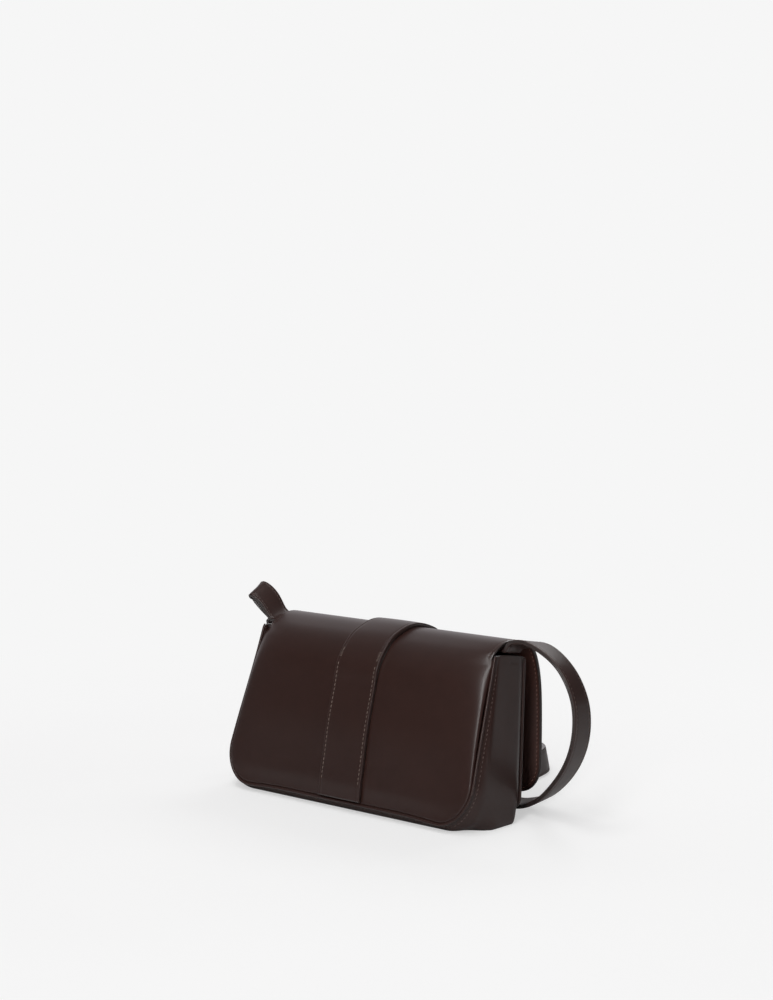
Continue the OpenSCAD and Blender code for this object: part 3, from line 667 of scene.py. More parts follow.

# %% [markdown]
# ## Back panel and flap in one
# The back of the bag and its flap are one piece of leather. Its grid runs up the back, over the
# roll and down the front. Below, its edge is turned into the piped seam. Above, the edge is cut
# and painted. On the real bag this piece bends when the flap is lifted, along a short line across
# the hinge.

# %% Back and flap grid
SEAM_IN, FLAP_STITCH = 0.9, 3.0
CREASE = ((0, 0.0167, 0.1248), (0, 0.00824, 0.1279))  # metres, in the frame
BOW = 9.42  # how far the flap's face stands out between the snap and the roll


def hide_rows(seam_in, flap_in, rows_back=84, rows_flap=132):
    """Rows of the piece: height on the back, place t on the flap, half the width, and how many rows
    are on the back. Rows crowd together at both ends, where the edge is rounded."""
    low = SEAM_H + seam_in + TURNED
    z = np.concatenate([low, np.linspace(low[-1], MOUTH_H, rows_back + 1)[1:-1]])
    half = half_width(z, seam_in, CORNER, MOUTH_H)
    half = mix(half, np.minimum(half, FLAP_HALF - flap_in), 0.8 * ease((z - 118) / 7))
    down = flap_in + CUT[::-1]
    t = np.concatenate([np.linspace(0, 1 - down[0] / FLAP_STEP, rows_flap + 1)[:-1], 1 - down / FLAP_STEP])
    q = (1 - t) * FLAP_STEP
    r = FLAP_CORNER
    short = FLAP_HALF - r + np.sqrt(np.maximum((r - flap_in) ** 2 - (r - q) ** 2, 0))
    wide = mix(0.2 * (half_width(MOUTH_H, seam_in, CORNER, MOUTH_H) - FLAP_HALF + flap_in), 0, ease(t / 0.16))
    flap_half = np.where(q < r, short, FLAP_HALF - flap_in + wide)
    return (np.concatenate([z, np.full(len(t), MOUTH_H)]), np.concatenate([np.zeros(len(z)), t]),
            np.concatenate([half, flap_half]), len(z))


def hide_surface(z, t, x, on_back):
    """The outer face over the rows at places x: the back panel's formula for the first on_back rows
    and the flap's for the rest, evened out along the rows, which takes the kink out of the hinge, but
    not near its two ends. The back is settled."""
    z, t = z[:, None], t[:, None]
    wall = sheet(x, back_y(z, x / half_width(z, 0, CORNER, MOUTH_H), 1), z)
    y, high = flap_profile(t)
    lead = back_y(np.array(MOUTH_H), x * 2 / MOUTH_W, 1) - BACK_TOP
    k = (high - SNAP_H) / (MOUTH_H - SNAP_H)
    bow = BOW * np.maximum(1 - k * k, 0) * (1 - (x / FLAP_HALF) ** 4) * (t > 0.3)
    face = sheet(x, y + lead * (1 - ease(t * FLAP_KNOTS / 2)) + bow, high)
    grid = np.concatenate([wall[:on_back], face[on_back:]])
    row = np.arange(len(grid))
    evened = ease((row - 14) / 12) * ease((len(grid) - 18 - row) / 12)
    grid[..., 1:] = mix(grid, smooth(grid, 4, 3), evened[:, None, None])[..., 1:]
    grid[:on_back] = settle(grid[:on_back])
    return grid


def hide_rim(z, t, x, half, on_back, flap_in, seam_in):
    """Distance from the outline of the piece, with its round lower corners on both ends."""
    wall = rim_distance(x, z[:, None], seam_in, CORNER, MOUTH_H)
    wall = np.where((z < SEAM_H + CORNER)[:, None], wall, np.minimum(wall, half[:, None] - np.abs(x)))
    q = ((1 - t) * FLAP_STEP)[:, None]
    corner = FLAP_CORNER - flap_in - np.hypot(np.abs(x) - FLAP_HALF + FLAP_CORNER, FLAP_CORNER - q)
    straight = np.minimum(half[:, None] - np.abs(x), q - flap_in)
    round_off = (np.abs(x) > FLAP_HALF - FLAP_CORNER) & (q < FLAP_CORNER)
    face = np.where(round_off, corner, straight)
    return np.maximum(np.concatenate([wall[:on_back], face[on_back:]]), 0)


z, t, half, on_back = hide_rows(SEAM_IN, 0.0)
x = columns(half, [*CUT, 6, 8], 84)
hide = hide_surface(z, t, x, on_back)
hide_up = normals(hide, on_back // 2, x.shape[1] // 2, 1)
rim = hide_rim(z, t, x, half, on_back, 0.0, SEAM_IN)
free = ease((np.arange(len(z)) - on_back + 5) / 4)[:, None]
top = turn_down(rim, mix(2.0, 0.9, free), mix(1.6, 0.9, free)) + groove(rim, FLAP_STITCH, 0.14) * free
low = LEATHER - turn_down(rim, 0.9, 0.9) * free + 0.4 * (1 - free)
back_and_flap = leather_sheet("back_and_flap", hide, hide_up, top, low, np.where(free > 0.5, rim, rim + 2))
finish_piece(back_and_flap, "body", "leather", "back_panel", "flap_outer", crease=CREASE)
flap_face = [part[on_back:] for part in (inside(hide, hide_up, top), hide_up, rim)]

# %% [markdown]
# ## Front panel
# The front panel is hidden behind the flap. It is the same kind of sheet, with sharper corners, and
# its upper edge is cut and painted.

# %% Front panel
z = crowded(SEAM_H + SEAM_IN, FRONT_TOP, 62, TURNED)[:, None]
x = columns(half_width(z[:, 0], SEAM_IN, FRONT_CORNER, FRONT_TOP), TURNED, 70)
front = settle(sheet(x, front_y(z, x / half_width(z, 0, FRONT_CORNER, FRONT_TOP)), z))
sides, hem = rim_distance(x, z, SEAM_IN, FRONT_CORNER, FRONT_TOP), FRONT_TOP - z
top = np.maximum(turn_down(sides, 2.3, 2.0), turn_down(hem, 0.9, 0.9)) + groove(hem, 3.2, 0.12)
front_panel = leather_sheet("front_leather", front, normals(front, 20, 40, 1, -1), top,
                            LEATHER - turn_down(hem, 0.9, 0.9), np.minimum(sides + 2, hem))
finish_piece(front_panel, "body", "leather", "front_panel")

# %% [markdown]
# ## Gusset
# The gusset is one strip that goes down one end, under the base and up the other end. A place along
# it is told by three numbers: the share of the base, the angle round the corner, and the share of
# the side that it has climbed. Across the strip, v runs from the back seam to the front seam. The
# strip swells past its seams, most at the base, where the bag stands on it.


# %% Gusset
RAMP_FROM = 2.2


def on_side(side, below):
    """Places on the right (1) or left (-1) end of the strip at those distances below the mouth."""
    climb = 1 - np.asarray(below) / (MOUTH_H - SEAM_H - CORNER)
    return sheet(side, 90 - 90 * side, climb)


def gusset_path(side, arc, base, edge=(0,)):
    """Places along the strip, from the mouth at the right to the mouth at the left. edge holds
    distances from the mouth where rows crowd together."""
    below = np.concatenate([edge, np.linspace(edge[-1], MOUTH_H - SEAM_H - CORNER, side + 1)[1:-1]])
    turn = sheet(1, np.linspace(0, 90, arc + 1), 0)
    floor = sheet(np.linspace(1, -1, base + 1)[1:-1], 90, 0)
    return np.concatenate([on_side(1, below), turn, floor, turn * [-1, 1, 1] + [0, 90, 0],
                           on_side(-1, below)[::-1]])


def corner_radius(v):
    """The lower corner is rounder at the back than at the front."""
    return mix(CORNER, FRONT_CORNER, ease(v / 0.55))


def seam_xz(p, v):
    """Where the line v of the strip lies, without its swell."""
    s, a, c = p[:, :1], np.radians(p[:, 1:2]), p[:, 2:]
    r = corner_radius(v)
    across = s * (FOOT_W / 2 - r) + (r - (FOOT_W - MOUTH_W) / 2 * c) * np.cos(a)
    return across, mix(SEAM_H + r * (1 - np.sin(a)), MOUTH_H - (MOUTH_H - FRONT_TOP) * v * v, c)


def gusset_y(p, v):
    """Between the back seam and the front seam at that place."""
    back, front = (seam_xz(p, np.full((len(p), 1), k))[1] for k in (0.0, 1.0))
    return mix(back_seam_y(back), front_seam_y(front), v)


def gusset_depth(p):
    """Depth of the strip from seam to seam."""
    return gusset_y(p, 0.0) - gusset_y(p, 1.0)


def gusset_surface(p, v):
    """Points of the strip: the swell rises from both seams as a quarter of a sine wave and falls
    off towards the mouth. The lower corners are filled out by a bell curve over the angle, and
    nothing goes below the table."""
    a = np.radians(p[:, 1:2])
    side = np.abs(np.cos(a))
    e = RAMP_FROM / gusset_depth(p)
    k = (v - e) / (1 - 2 * e)
    ramp = np.sin(np.pi / 2 * np.clip(np.minimum(k, 1 - k) / mix(0.12, 0.17, side), 0, 1))
    fill = CORNER_FILL * np.exp(-((np.arcsin(np.clip(np.sin(a), 0, 1)) - 1.05) / 0.3) ** 2)
    fill = fill * ease((v - 0.2) / 0.3) * (1 - ease((v - 0.85) / 0.15)) * (p[:, 2:] == 0)
    push = mix(SEAM_H, SIDE_SWELL, side ** 3) * (1 - p[:, 2:] ** 2) * ramp + fill
    across, high = seam_xz(p, v)
    return sheet(across + push * np.cos(a), gusset_y(p, v), np.maximum(high - push * np.sin(a), 0))


def strip_places(p, steps, inner):
    """Places v across the strip: the steps in from both seams, and even shares between."""
    near = steps / gusset_depth(p)
    shares = np.linspace(0, 1, inner + 2)[1:-1]
    return np.concatenate([near, mix(near[:, -1:], 1 - near[:, -1:], shares), 1 - near[:, ::-1]], 1)


def to_hem(grid):
    """Distance of each point of a grid from its nearer end, walked along the rows."""
    walked = lengths_along(grid, 0)
    return np.minimum(walked, walked[-1:] - walked)


STITCH_IN = 3.4
beside = np.array([0, .12, .3, .55, .9, 1.3, 1.8, 2.4, 2.9, STITCH_IN, 3.9, 4.6, 5.4, 6.2])
path = gusset_path(44, 22, 60, [0, .12, .3, .6, .9, 1.3, 1.9, 2.6, 3.6, 4.6, 5.4, 6.2])
v = strip_places(path, SEAM_IN + beside, 26)
strip = settle(gusset_surface(path, v))
strip_up = normals(strip, 0, 20, 0)
sides, hem = np.minimum(v, 1 - v) * gusset_depth(path) - SEAM_IN, to_hem(strip)
top = np.maximum(turn_down(sides, 1.5, 1.7), turn_down(hem, 0.9, 0.9))
top += groove(sides, STITCH_IN, 0.16) + groove(hem, 5.2, 0.22, 0.5) * (v > 0.5)
gusset = leather_sheet("gusset_leather", strip, strip_up, top, LEATHER - turn_down(hem, 0.9, 0.9),
                       np.minimum(sides + 2, hem))
finish_piece(gusset, "body", "leather", "gusset")

# %% [markdown]
# ## Piping
# A cord covered with leather is sewn into each long seam and keeps it round. It is a tube: a circle
# carried along the gusset's path at v = 0 or v = 1, which grows from a point at both ends.

# %% Piping
PIPE_R, PIPE_SINK, PIPE_RIM = 1.15, 0.25, 3.0
turn = np.arange(12)[:, None] * 2 * np.pi / 12
seam_path = gusset_path(60, 30, 70)
angle = np.radians(seam_path[:, 1:2])
outward = np.concatenate([np.cos(angle), 0 * angle, -np.sin(angle)], 1)
for name, node, place, way in (("piping_back", "welt_back", 0, 1), ("piping_front", "welt_front", 1, -1)):
    side = np.tile([0, way, 0], (len(seam_path), 1))
    seam = settle(gusset_surface(seam_path, np.full((len(seam_path), 1), place))[:, 0])
    seam = seam + MIDDLE - PIPE_SINK * (outward + side)
    size = PIPE_R * np.sqrt(1 - np.clip(1 - (from_ends(len(seam)) + 0.2) / 2, 0, 1) ** 2)
    circles = side[:, None] * np.cos(turn) + outward[:, None] * np.sin(turn)
    circles = seam[:, None] + size[:, None, None] * circles
    piping = swept(name, circles, seam[[0, -1]], rim=np.full(circles[..., 0].size + 2, PIPE_RIM))
    finish_piece(piping, "body", "leather", node)

column = list(beside).index(STITCH_IN)
sew("gusset_stitches", "body", "leather", brown_thread, *[
    (inside(strip, strip_up, 0.12)[14:-14, k], strip_up[14:-14, k]) for k in (column, -1 - column)])

# %% [markdown]
# ## Band
# The band is a doubled strip round the middle of the bag. It is sewn down on the back, loose over
# the top, and follows the flap down its front. It is laid on the same surface as the back and flap,
# a little proud of it; on the real bag the two bend together when the flap is lifted.

# %% Band
BAND_HALF, BAND_THICK, BAND_GAP, BAND_LIFT, BAND_CROWN = 20.5, 2.6, 0.4, 0.9, 0.25
BAND_FOOT, BAND_END, BAND_STITCH = 2.2, 6.0, 2.3
TACK_LOW, TACK_HIGH = 110.5, 117.5
z, t, _, on_back = hide_rows(BAND_FOOT, BAND_END)
beside = [1.1, 1.5, 1.9, BAND_STITCH, 2.7, 3.2, 4.2]
x, drop, reach = two_layers(np.full(len(z), BAND_HALF), beside, 15)
under = hide_surface(z, t, x, on_back)
band_up = normals(under, on_back // 2, 12, 1)
rise = np.where(t > 0, 1 - ease(2 * t), ease((z - MOUTH_H + 32) / 16))[:, None]
hem = to_hem(under)[:, 20:21]
crown = BAND_CROWN * np.maximum(1 - (np.abs(x) / (BAND_HALF - LIP[-1, 0])) ** 2, 0)
outer = under + band_up * (BAND_GAP + BAND_LIFT * rise + BAND_THICK + crown - 0.2)[..., None]
deep, lip = (BAND_THICK + crown) / 2, np.maximum(drop, turn_down(hem, 1.2, 1.0))
top = deep * lip + groove(BAND_HALF - np.abs(x), BAND_STITCH, 0.22)
band = leather_sheet("band", outer, band_up, top, deep * (2 - lip), np.minimum(reach, hem + 0.2))
finish_piece(band, "body", "band_leather", "band_back", "band_flap", crease=CREASE)
column, row = len(LIP) + beside.index(BAND_STITCH), np.arange(len(z))
sewn = [(z < TACK_LOW) & (row > 14), (t > 0.4) & (row < len(z) - 12)]
sew("band_stitches", "body", "band_leather", pale_thread, *[
    (inside(outer, band_up, 0.12)[rows, k], band_up[rows, k]) for k in (column, -1 - column) for rows in sewn],
    long=2.6, thin=0.40, crease=CREASE)

# %% [markdown]
# ## Bartacks
# Where the band leaves the back and goes loose over the roll, a dense little row of stitches, a
# bartack, takes the pull on each side.

# %% Bartacks
rows = (z > TACK_LOW) & (z < TACK_HIGH)
sew("bartacks", "body", "band_leather", pale_thread, *[
    (inside(outer, band_up, 0.05)[rows, k] + [shift, 0, 0], band_up[rows, k])
    for k in (column, -1 - column) for shift in (-0.45, 0.45)],
    pitch=1.15, long=1.5, thin=0.34, slant=1.2, crease=CREASE)

# %% [markdown]
# ## Lining of the flap
# Inside, the flap is faced with thin matt leather. It is glued to the outer leather at the edge,
# where the two are sewn together and painted, and lies on the stiffener further in. It ends just
# below the hinge, on the back wall.

# %% Flap lining
FLAP_LINING_IN, FLAP_LINING_FROM, LINING_STITCH = 0.5, 119.5, 2.5
z, t, half, on_back = hide_rows(SEAM_IN, FLAP_LINING_IN)
x = columns(half, [0, .12, .3, .5, .8, 1.2, 1.8, 2.3, 2.7, 3.1, 3.6, 4.5, 6, 9, 12, 15], 40)
under = hide_surface(z, t, x, on_back)
under, inner_up, rim = (part[np.argmax(z >= FLAP_LINING_FROM):] for part in (
    under, normals(under, on_back // 2, 20, 1), hide_rim(z, t, x, half, on_back, FLAP_LINING_IN, SEAM_IN)))
top = mix(LEATHER - 0.1, 3.5, ease((rim - 1) / 12)) - 0.12 * (1 - ease(rim / 4))
low = top + LINING - turn_down(rim, 0.6, 0.6) - groove(rim, LINING_STITCH, 0.14)
flap_lining = leather_sheet("flap_lining_leather", under, inner_up, top, low, rim)
finish_piece(flap_lining, "body", "flap_lining", "flap_lining", crease=CREASE)

# %% [markdown]
# ## Stitches round the flap
# The flap's two layers are sewn together near the edge. A row of the grid doesn't run along a round
# corner, so the line is looked up: the places where the distance from the edge is the stitch's.


# %% Stitches round the flap
def edge_line(points, up, rim, place):
    """The line on a grid that runs round its outline at the given distance from it: down one side,
    along the end and up the other side. It picks, in each row, the columns at that distance."""
    within = rim >= place
    full = np.flatnonzero(within.any(1))
    left = within.argmax(1)[full]
    right = rim.shape[1] - 1 - within[:, ::-1].argmax(1)[full]
    across = np.arange(left[-1], right[-1] + 1)
    r = np.concatenate([full, np.full(len(across), full[-1]), full[::-1]])
    c = np.concatenate([left, across, right[::-1]])
    return points[r, c], up[r, c]


line, up = edge_line(inside(under, inner_up, low), -inner_up, rim, LINING_STITCH)
sew("flap_lining_stitches", "body", "flap_lining", red_thread, (line[6:-6], up[6:-6]), crease=CREASE)
sew("flap_stitches", "body", "leather", brown_thread, edge_line(*flap_face, FLAP_STITCH), crease=CREASE)

# %% [markdown]
# ## Lining and facings
# The bag is lined with red-brown twill. At the mouth the lining gives way to a strip of leather,
# the facing, that takes the wear. Both follow the walls from inside, so they are made from the same
# formulas, each at its own depth.


# %% Twill
def twill(name, tone, deep):
    """Twill: diagonal ribs of thread over the sheet's own across and along, with slubs."""
    material, shader, place = start_material(name)
    weave = place.node("ShaderNodeAttribute", {"attribute_name": "weave"}, out=1)
    across, along = weave.part(0), weave.part(1)
    rib, yarn = (across + along * 0.7).wave(0.0011), (across - along * 1.4).wave(0.0007)
    slubs = place.noise(320.0, 3.0)
    cloth = (rib * 0.6 + slubs * 0.6 - 0.1).step(0.2, 0.9)
    set_sockets(shader, Base_Color=cloth.blend(deep, tone), Roughness=0.86 - slubs * 0.1,
                Normal=(rib * 0.7 + yarn * 0.3 + slubs * 0.3).bump(0.35, 0.0002),
                Specular_IOR_Level=0.2, Sheen_Weight=0.15)
    return material


finishes["lining"] = twill("lining twill", (0.110, 0.034, 0.024), (0.060, 0.018, 0.013))


# %% Linings of the walls
LINING_OFF, SIDE_OFF, BASE_OFF, FACING = 3.4, 5.8, 4.2, 1.2
LINING_LOW, FACING_LOW, FACING_TOP, FRONT_FACING_LOW, OVERLAP = 13.5, 108.0, 119.3, 103.0, 1.5
LINING_IN, FACING_IN = 5.6, 5.4


def lay_in(name, slot, node, grid, up, off, thick, rim):
    """A sheet on the bag's body that lies off inside a surface and is thick, with a round edge."""
    round_edge = turn_down(rim, 0.5, thick * 0.45)
    made = leather_sheet(name, grid, up, off + round_edge, off + thick - round_edge, rim)
    finish_piece(made, "body", slot, node)


def wall_sheet(at_back, low, high, inset, rows=40, cols=44):
    """Grid, outward normals and edge distances of a sheet on the back or front wall. Near the mouth
    it follows the dome of the outer leather at the back."""
    r, top = (CORNER, MOUTH_H) if at_back else (FRONT_CORNER, FRONT_TOP)
    z = crowded(low, high, rows, THIN)[:, None]
    half = half_width(z, inset, max(r, inset + 1), top)
    x = columns(half[:, 0], THIN, cols)
    share = x / half_width(z, 0, r, top)
    grid = sheet(x, back_y(z, share, ease((z - 110) / 7)) if at_back else front_y(z, share), z)
    up = normals(grid, len(z) // 2, x.shape[1] // 2, 1, 1 if at_back else -1)
    return grid, up, np.minimum(half - np.abs(x), np.minimum(z - low, high - z))


for wall, low in (("back", FACING_LOW), ("front", FRONT_FACING_LOW)):
    grid, up, rim = wall_sheet(wall == "back", LINING_LOW, low + OVERLAP, LINING_IN)
    lay_in("lining_of_" + wall, "lining", "lining_" + wall, grid, up, LINING_OFF, LINING, rim)
for wall, low, high in (("back", FACING_LOW, FACING_TOP), ("front", FRONT_FACING_LOW, FRONT_TOP - 0.1)):
    grid, up, rim = wall_sheet(wall == "back", low, high, FACING_IN, 10)
    near_top = ease((grid[..., 2] - FRONT_TOP + 7) / 7) * (wall == "front")
    lay_in("facing_of_" + wall, "inner_leather", "facing_" + wall, grid, up,
           mix(LINING_OFF, LEATHER - 0.05, near_top), FACING, rim)

# %% [markdown]
# ## Inside the ends
# The gusset has its own lining, and each end a facing. Between the gusset and the facing lies the
# strap's end, which they hold, so the facing swells over it.

# %% Lining and facings of the gusset
LINING_SIDE, FACING_SIDE, FACING_DEEP = 3.2, 3.0, 22.0
TAB_PLACE, TAB_TOP, TAB_LOW, TAB_OFF, OVER_TAB = 0.62, 0.6, 33.5, 2.2, 5.6

path = gusset_path(44, 22, 50)
path = path[seam_xz(path, 0)[1][:, 0] < FACING_LOW + 0.5]
v = strip_places(path, LINING_SIDE + np.array([0, .3, .8, 1.6]), 14)
grid = gusset_surface(path, v)
off = mix(BASE_OFF, SIDE_OFF, ease(np.abs(np.cos(np.radians(path[:, 1:2])))))
lay_in("lining_of_gusset", "lining", "lining_gusset", grid, normals(grid, 0, 8, 0), off, LINING,
       np.minimum(v, 1 - v) * gusset_depth(path) - LINING_SIDE)

for end, side in (("right", 1), ("left", -1)):
    path = on_side(side, np.concatenate([THIN, np.linspace(THIN[-1], FACING_DEEP, 14)[1:]]))
    v = strip_places(path, FACING_SIDE + THIN, 14)
    grid = gusset_surface(path, v)
    depth = gusset_depth(path)
    over_tab = 1 - ease((np.abs(v - TAB_PLACE) * depth - STRAP_HALF - 1) / 5)
    further_down = ease((lengths_along(grid, 0) - 6) / 12)
    off = mix(LEATHER + 0.05, OVER_TAB, np.maximum(over_tab, further_down))
    lay_in(f"facing_of_{end}_end", "inner_leather", "facing_" + end, grid, normals(grid, 0, 12, 0, side),
           off, FACING, np.minimum(np.minimum(v, 1 - v) * depth - FACING_SIDE, to_hem(grid)))

    # the strap's end, sewn in between the gusset and its facing
    path = on_side(side, np.concatenate([[TAB_TOP, .8, 1.1, 1.6, 2.6], np.linspace(2.6, TAB_LOW, 18)[1:]]))
    across = columns(np.full(len(path), STRAP_HALF),
                     [0, .12, .3, .55, .85, 1.2, 1.6, 1.95, 2.3, 2.65, 3.1, 4.0], 5)
    grid = gusset_surface(path, TAB_PLACE + across / gusset_depth(path))
    rim = STRAP_HALF - np.abs(across)
    round_edge = turn_down(rim, 1.4, 1.5)
    tab = leather_sheet("strap_end_" + end, grid, normals(grid, 0, 8, 0, side), TAB_OFF + round_edge,
                        TAB_OFF + 2 * STRAP_DEEP - round_edge, rim)
    finish_piece(tab, "body", "strap_leather", "strap_tab_" + end)

# %% [markdown]
# ## Slip pocket
# An open pocket is sewn on the back lining. Its top is folded to a hem and hangs a little slack, so
# that a hand gets in.

# %% Slip pocket
POCKET_HALF, POCKET_LOW, POCKET_HIGH, POCKET_SLACK = 65.0, 28.0, 90.0, 0.9
HEM_DEEP, HEM_THICK, HEM_STITCH = 6.2, 0.45, 5.0
steps = np.array([0, .15, .4, .8, 1.5, 2.5, 3.5])
top_steps = np.array([*steps, HEM_STITCH, 5.6, 6, 6.4, 7])
z = crowded(POCKET_LOW, POCKET_HIGH, 24, steps, top_steps)[:, None]
x = columns(np.full(len(z), POCKET_HALF), steps, 30)
grid = sheet(x, back_y(z, x / half_width(z, 0, CORNER, MOUTH_H)), z)
up = normals(grid, 20, 20, 1)
rim = np.minimum(np.minimum(POCKET_HALF - np.abs(x), z - POCKET_LOW), POCKET_HIGH - z)
off = LINING_OFF + LINING + 0.05 + POCKET_SLACK * ease((z - 50) / 40) * (1 - (x / POCKET_HALF) ** 2)
fold = HEM_THICK * ease((HEM_DEEP - POCKET_HIGH + z) / 0.8)
low = off + LINING + fold - turn_down(rim, 0.7, 0.4) - groove(POCKET_HIGH - z, HEM_STITCH, 0.15)
pocket = leather_sheet("pocket", grid, up, off + turn_down(rim, 0.7, 0.35), low, rim)
finish_piece(pocket, "body", "lining", "slip_pocket")
inner = inside(grid, up, low + 0.05)
lines = [np.s_[:-8, 4], np.s_[4, 4:-4], np.s_[:-8, -5], np.s_[-1 - len(steps), 4:-4]]
sew("pocket_stitches", "body", "lining", red_thread, *[(inner[line], -up[line]) for line in lines],
    pitch=2.8, long=2.0, thin=0.22)

# %% [markdown]
# ## Snap
# The flap is held by a magnetic snap. Each half is turned brass, so it is made as on a lathe: a
# profile, drawn once as distances from the axis and heights, is swept round the axis.


# %% Snap
SNAP_R, SOCKET_DEEP, SNAP_GAP, STUD_POST, SOCKET_SUNK = 9.0, 2.8, 0.3, 1.2, 0.4


def turned(name, profile, front, around=48):
    """Sweeps a profile of radius and height round the snap's axis; height grows towards the front. A
    profile that begins and ends on the axis gives a disc, another one a ring."""
    radius, height = np.array(profile)[:, :, None].transpose(1, 0, 2)
    turn = np.arange(around) * 2 * np.pi / around
    rings = sheet(radius * np.cos(turn), MIDDLE[1] + front - height, SNAP_H + radius * np.sin(turn))
    return swept(name, rings[1:-1], rings[[0, -1], 0]) if radius[0] == 0 else swept(name, rings)


def metal(name, tone, gloss, scale, metallic=1.0):
    """Metal with fine scratches and a slow change of gloss."""
    material, shader, place = start_material(name)
    scratch, slow = place.noise(scale, 4.0), place.noise(90.0)
    dull = tuple(0.8 * c for c in tone)
    set_sockets(shader, Base_Color=slow.step(0.35, 0.65).blend(dull, tone),
                Roughness=gloss + scratch * 0.12, Metallic=metallic, Normal=scratch.bump(0.08, 0.0001))
    return material


finishes["snap_metal"] = metal("brass", (0.60, 0.45, 0.22), 0.20, 900.0)
socket_back = front_y(np.array([SNAP_H, SNAP_H + SNAP_R]), np.zeros(2)).min() - SOCKET_SUNK
socket = turned("snap_socket_ring", [
    (3.8, 0.1), (8.8, 0.0), (9.0, 0.3), (9.0, 1.9), (8.8, 2.4), (8.3, 2.75), (7.6, 2.8), (7.2, 2.62),
    (5.4, 2.62), (5.0, 2.8), (4.4, 2.8), (4.0, 2.6), (3.8, 2.2)], socket_back)
finish_piece(socket, "body", "snap_metal", "snap_socket")
stud = turned("snap_stud_disc", [
    (0, 0), (1.6, 0), (2.3, 0.15), (2.6, 0.5), (2.6, 1.2), (3.0, 1.25), (7.4, 1.25), (8.4, 1.35),
    (8.85, 1.6), (9.0, 2.0), (9.0, 2.9), (8.7, 3.2), (0, 3.2)],
    socket_back - SOCKET_DEEP - SNAP_GAP + STUD_POST)
finish_piece(stud, "flap", "snap_metal", "snap_stud")

# %% [markdown]
# ## Hidden pieces
# The stiffeners, the magnet and the snap's two plates lie between leather and lining, where no one
# sees them. They stay the plain solids of the frame and only get their own materials.


# %% Hidden pieces
def fibreboard(name, tone, deep):
    """Pressed leather fibre: short fibres and specks."""
    material, shader, place = start_material(name)
    fibres = place.node("ShaderNodeTexNoise", {"noise_type": "RIDGED_MULTIFRACTAL"},
                        Vector=place, Scale=260.0, Detail=6.0)
    specks = place.noise(900.0)
    set_sockets(shader, Base_Color=(fibres * 0.5 + specks * 0.5).step(0.2, 0.8).blend(deep, tone),
                Roughness=0.8 + specks * 0.1, Normal=specks.bump(0.3, 0.0002))
    return material


finishes["board"] = fibreboard("fibreboard", (0.36, 0.30, 0.22), (0.24, 0.19, 0.13))
finishes["magnet"] = metal("sintered magnet", (0.13, 0.13, 0.14), 0.5, 1500.0, 0.8)
finishes["plate_metal"] = metal("zinc plate", (0.55, 0.55, 0.57), 0.3, 700.0)
hidden = {"board": ("base_board", "back_board", "front_board", "flap_board"), "magnet": ("snap_magnet",),
          "plate_metal": ("snap_socket_plate", "snap_stud_plate")}
for slot, names in hidden.items():
    for node in names:
        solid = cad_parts[node]
        solid.data.materials.clear()
        solid.data.materials.append(finishes[slot])
print("hidden pieces:", sum(map(len, hidden.values())))

# %% [markdown]
# ## Stage and light
# A pale floor that fades into an even background. The main lamp is tall and narrow and stands up to
# the left behind the camera: it draws the bright line along the near seam. Two wide dim ones on the
# far side give the roll its soft sheen, and two small ones above and behind make the shadow at the
# base.


# %% Stage and light
LIT = Vector((0, 0, 0.07))
FAR_TONE = (1.0, 0.96, 0.99)
BACKDROP = 0.922


def light(name, place, size, power, tone=(1.0, 1.0, 1.0)):
    """A soft rectangular lamp at place that faces the bag."""
    lamp = bpy.data.objects.new(name, bpy.data.lights.new(name, "AREA"))
    lamp.data.shape, lamp.data.size, lamp.data.size_y = "RECTANGLE", size[0], size[1]
    lamp.data.energy, lamp.data.color = power, tone
    lamp.location = place
    lamp.rotation_euler = (LIT - lamp.location).to_track_quat("-Z", "Y").to_euler()
    bpy.context.scene.collection.objects.link(lamp)


light("main", (-0.56, 1.02, 0.96), (0.27, 1.4), 12.0)
light("backdrop_glow", (1.35, -0.85, 0.60), (2.4, 1.1), 5.2, FAR_TONE)
light("backdrop_high", (1.00, -0.50, 1.45), (1.8, 1.0), 1.0, FAR_TONE)
light("above", (0.0, 0.35, 1.35), (0.45, 0.6), 3.6)
light("behind", (0.2, -1.2, 1.2), (0.8, 0.6), 5.0)

# %% [markdown]
# ## Floor
# More light would whiten the floor, but also the bag. So the floor glows just enough to make up for
# what the lamps leave out, and less near the bag, so that only the shadow shows on it. The glow is
# seen by the camera and in metal or glass, and lights nothing else.

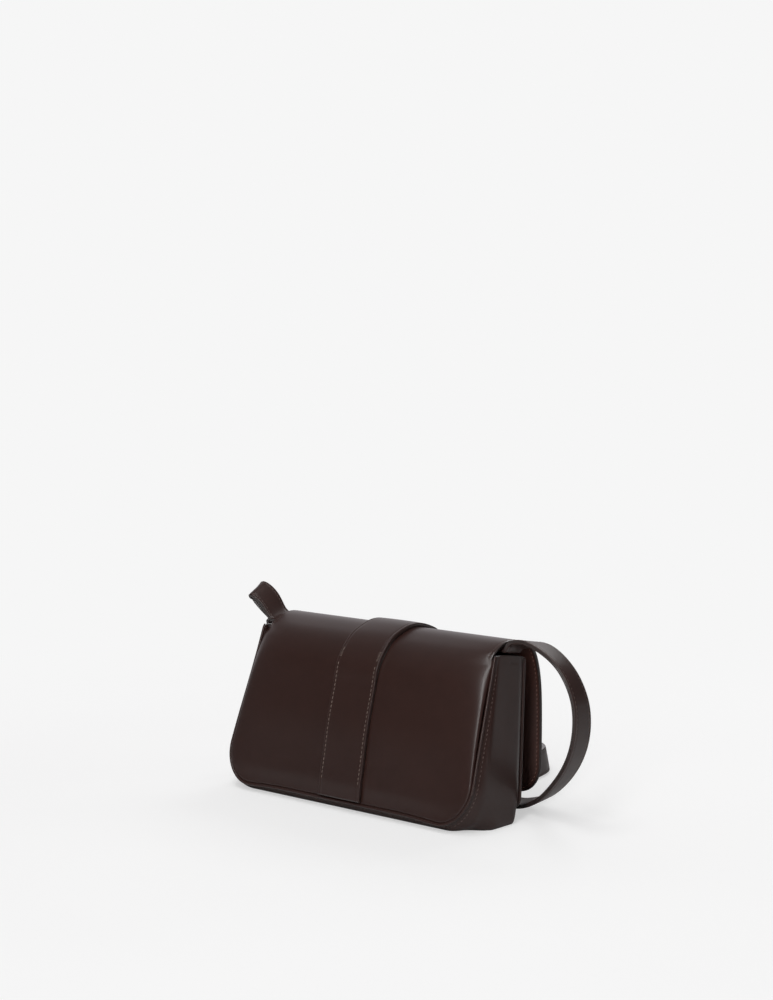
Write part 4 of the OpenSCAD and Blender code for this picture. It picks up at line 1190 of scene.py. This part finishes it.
# %% Floor
FLOOR_R, FLOOR_Z = 6000.0, -0.05
turn = np.arange(96) * 2 * np.pi / 96
radius = np.linspace(0.02, 1, 24)[:, None] ** 1.6 * FLOOR_R
disc = sheet(radius * np.cos(turn), radius * np.sin(turn), FLOOR_Z)
number = np.arange(radius.size * turn.size).reshape(radius.size, turn.size)
floor = add_mesh("floor", np.concatenate([disc.reshape(-1, 3), [[0, 0, FLOOR_Z]]]), ring_quads(number),
                 cap(number.size, number[0]))

material, shader, place = start_material("pale floor")
away = place.node("ShaderNodeVectorMath", {"operation": "LENGTH"}, place, out=1)
seen, glossy, through = (place.node("ShaderNodeLightPath", out="Is " + ray + " Ray")
                         for ray in ("Camera", "Glossy", "Transmission"))
glowing = away.step(0.18, 0.75) * 0.73 + 0.27
east, north = place.part(0), place.part(1)
lamp_level = (east * -0.195 + north * -0.305 - 0.029) * east + north * 0.194 + 0.56
rest = (BACKDROP - (1 - glowing) * lamp_level) / glowing
set_sockets(shader, Base_Color=place.noise(3.0).step(0.3, 0.7).blend((0.72,) * 3, (0.74,) * 3),
            Roughness=0.9, Specular_IOR_Level=0.1)
glow = place.node("ShaderNodeEmission", None, (rest * 0.5).blend((0, 0, 0), (2, 2, 2)), 1.0)
share = (seen * glowing + (glossy + through) * away.step(0.9, 2.5)).clip()
mixed = place.node("ShaderNodeMixShader", None, share, Field(place.tree, shader.outputs[0]), glow)
set_sockets(material.node_tree.nodes["Material Output"], Surface=mixed)
floor.data.materials.append(material)

# %% World
world = bpy.data.worlds.new("studio")
bpy.context.scene.world = world
world.use_nodes = True
air = Field(world.node_tree, None)
dim = air.node("ShaderNodeBackground", None, (1, 1, 1, 1), 0.10)
bright = air.node("ShaderNodeBackground", None, (BACKDROP, BACKDROP, BACKDROP, 1), 1.0)
seen = air.node("ShaderNodeLightPath", out="Is Camera Ray")
both = air.node("ShaderNodeMixShader", None, seen, dim, bright)
set_sockets(world.node_tree.nodes["World Output"], Surface=both)
bpy.context.scene.view_settings.view_transform = "Standard"
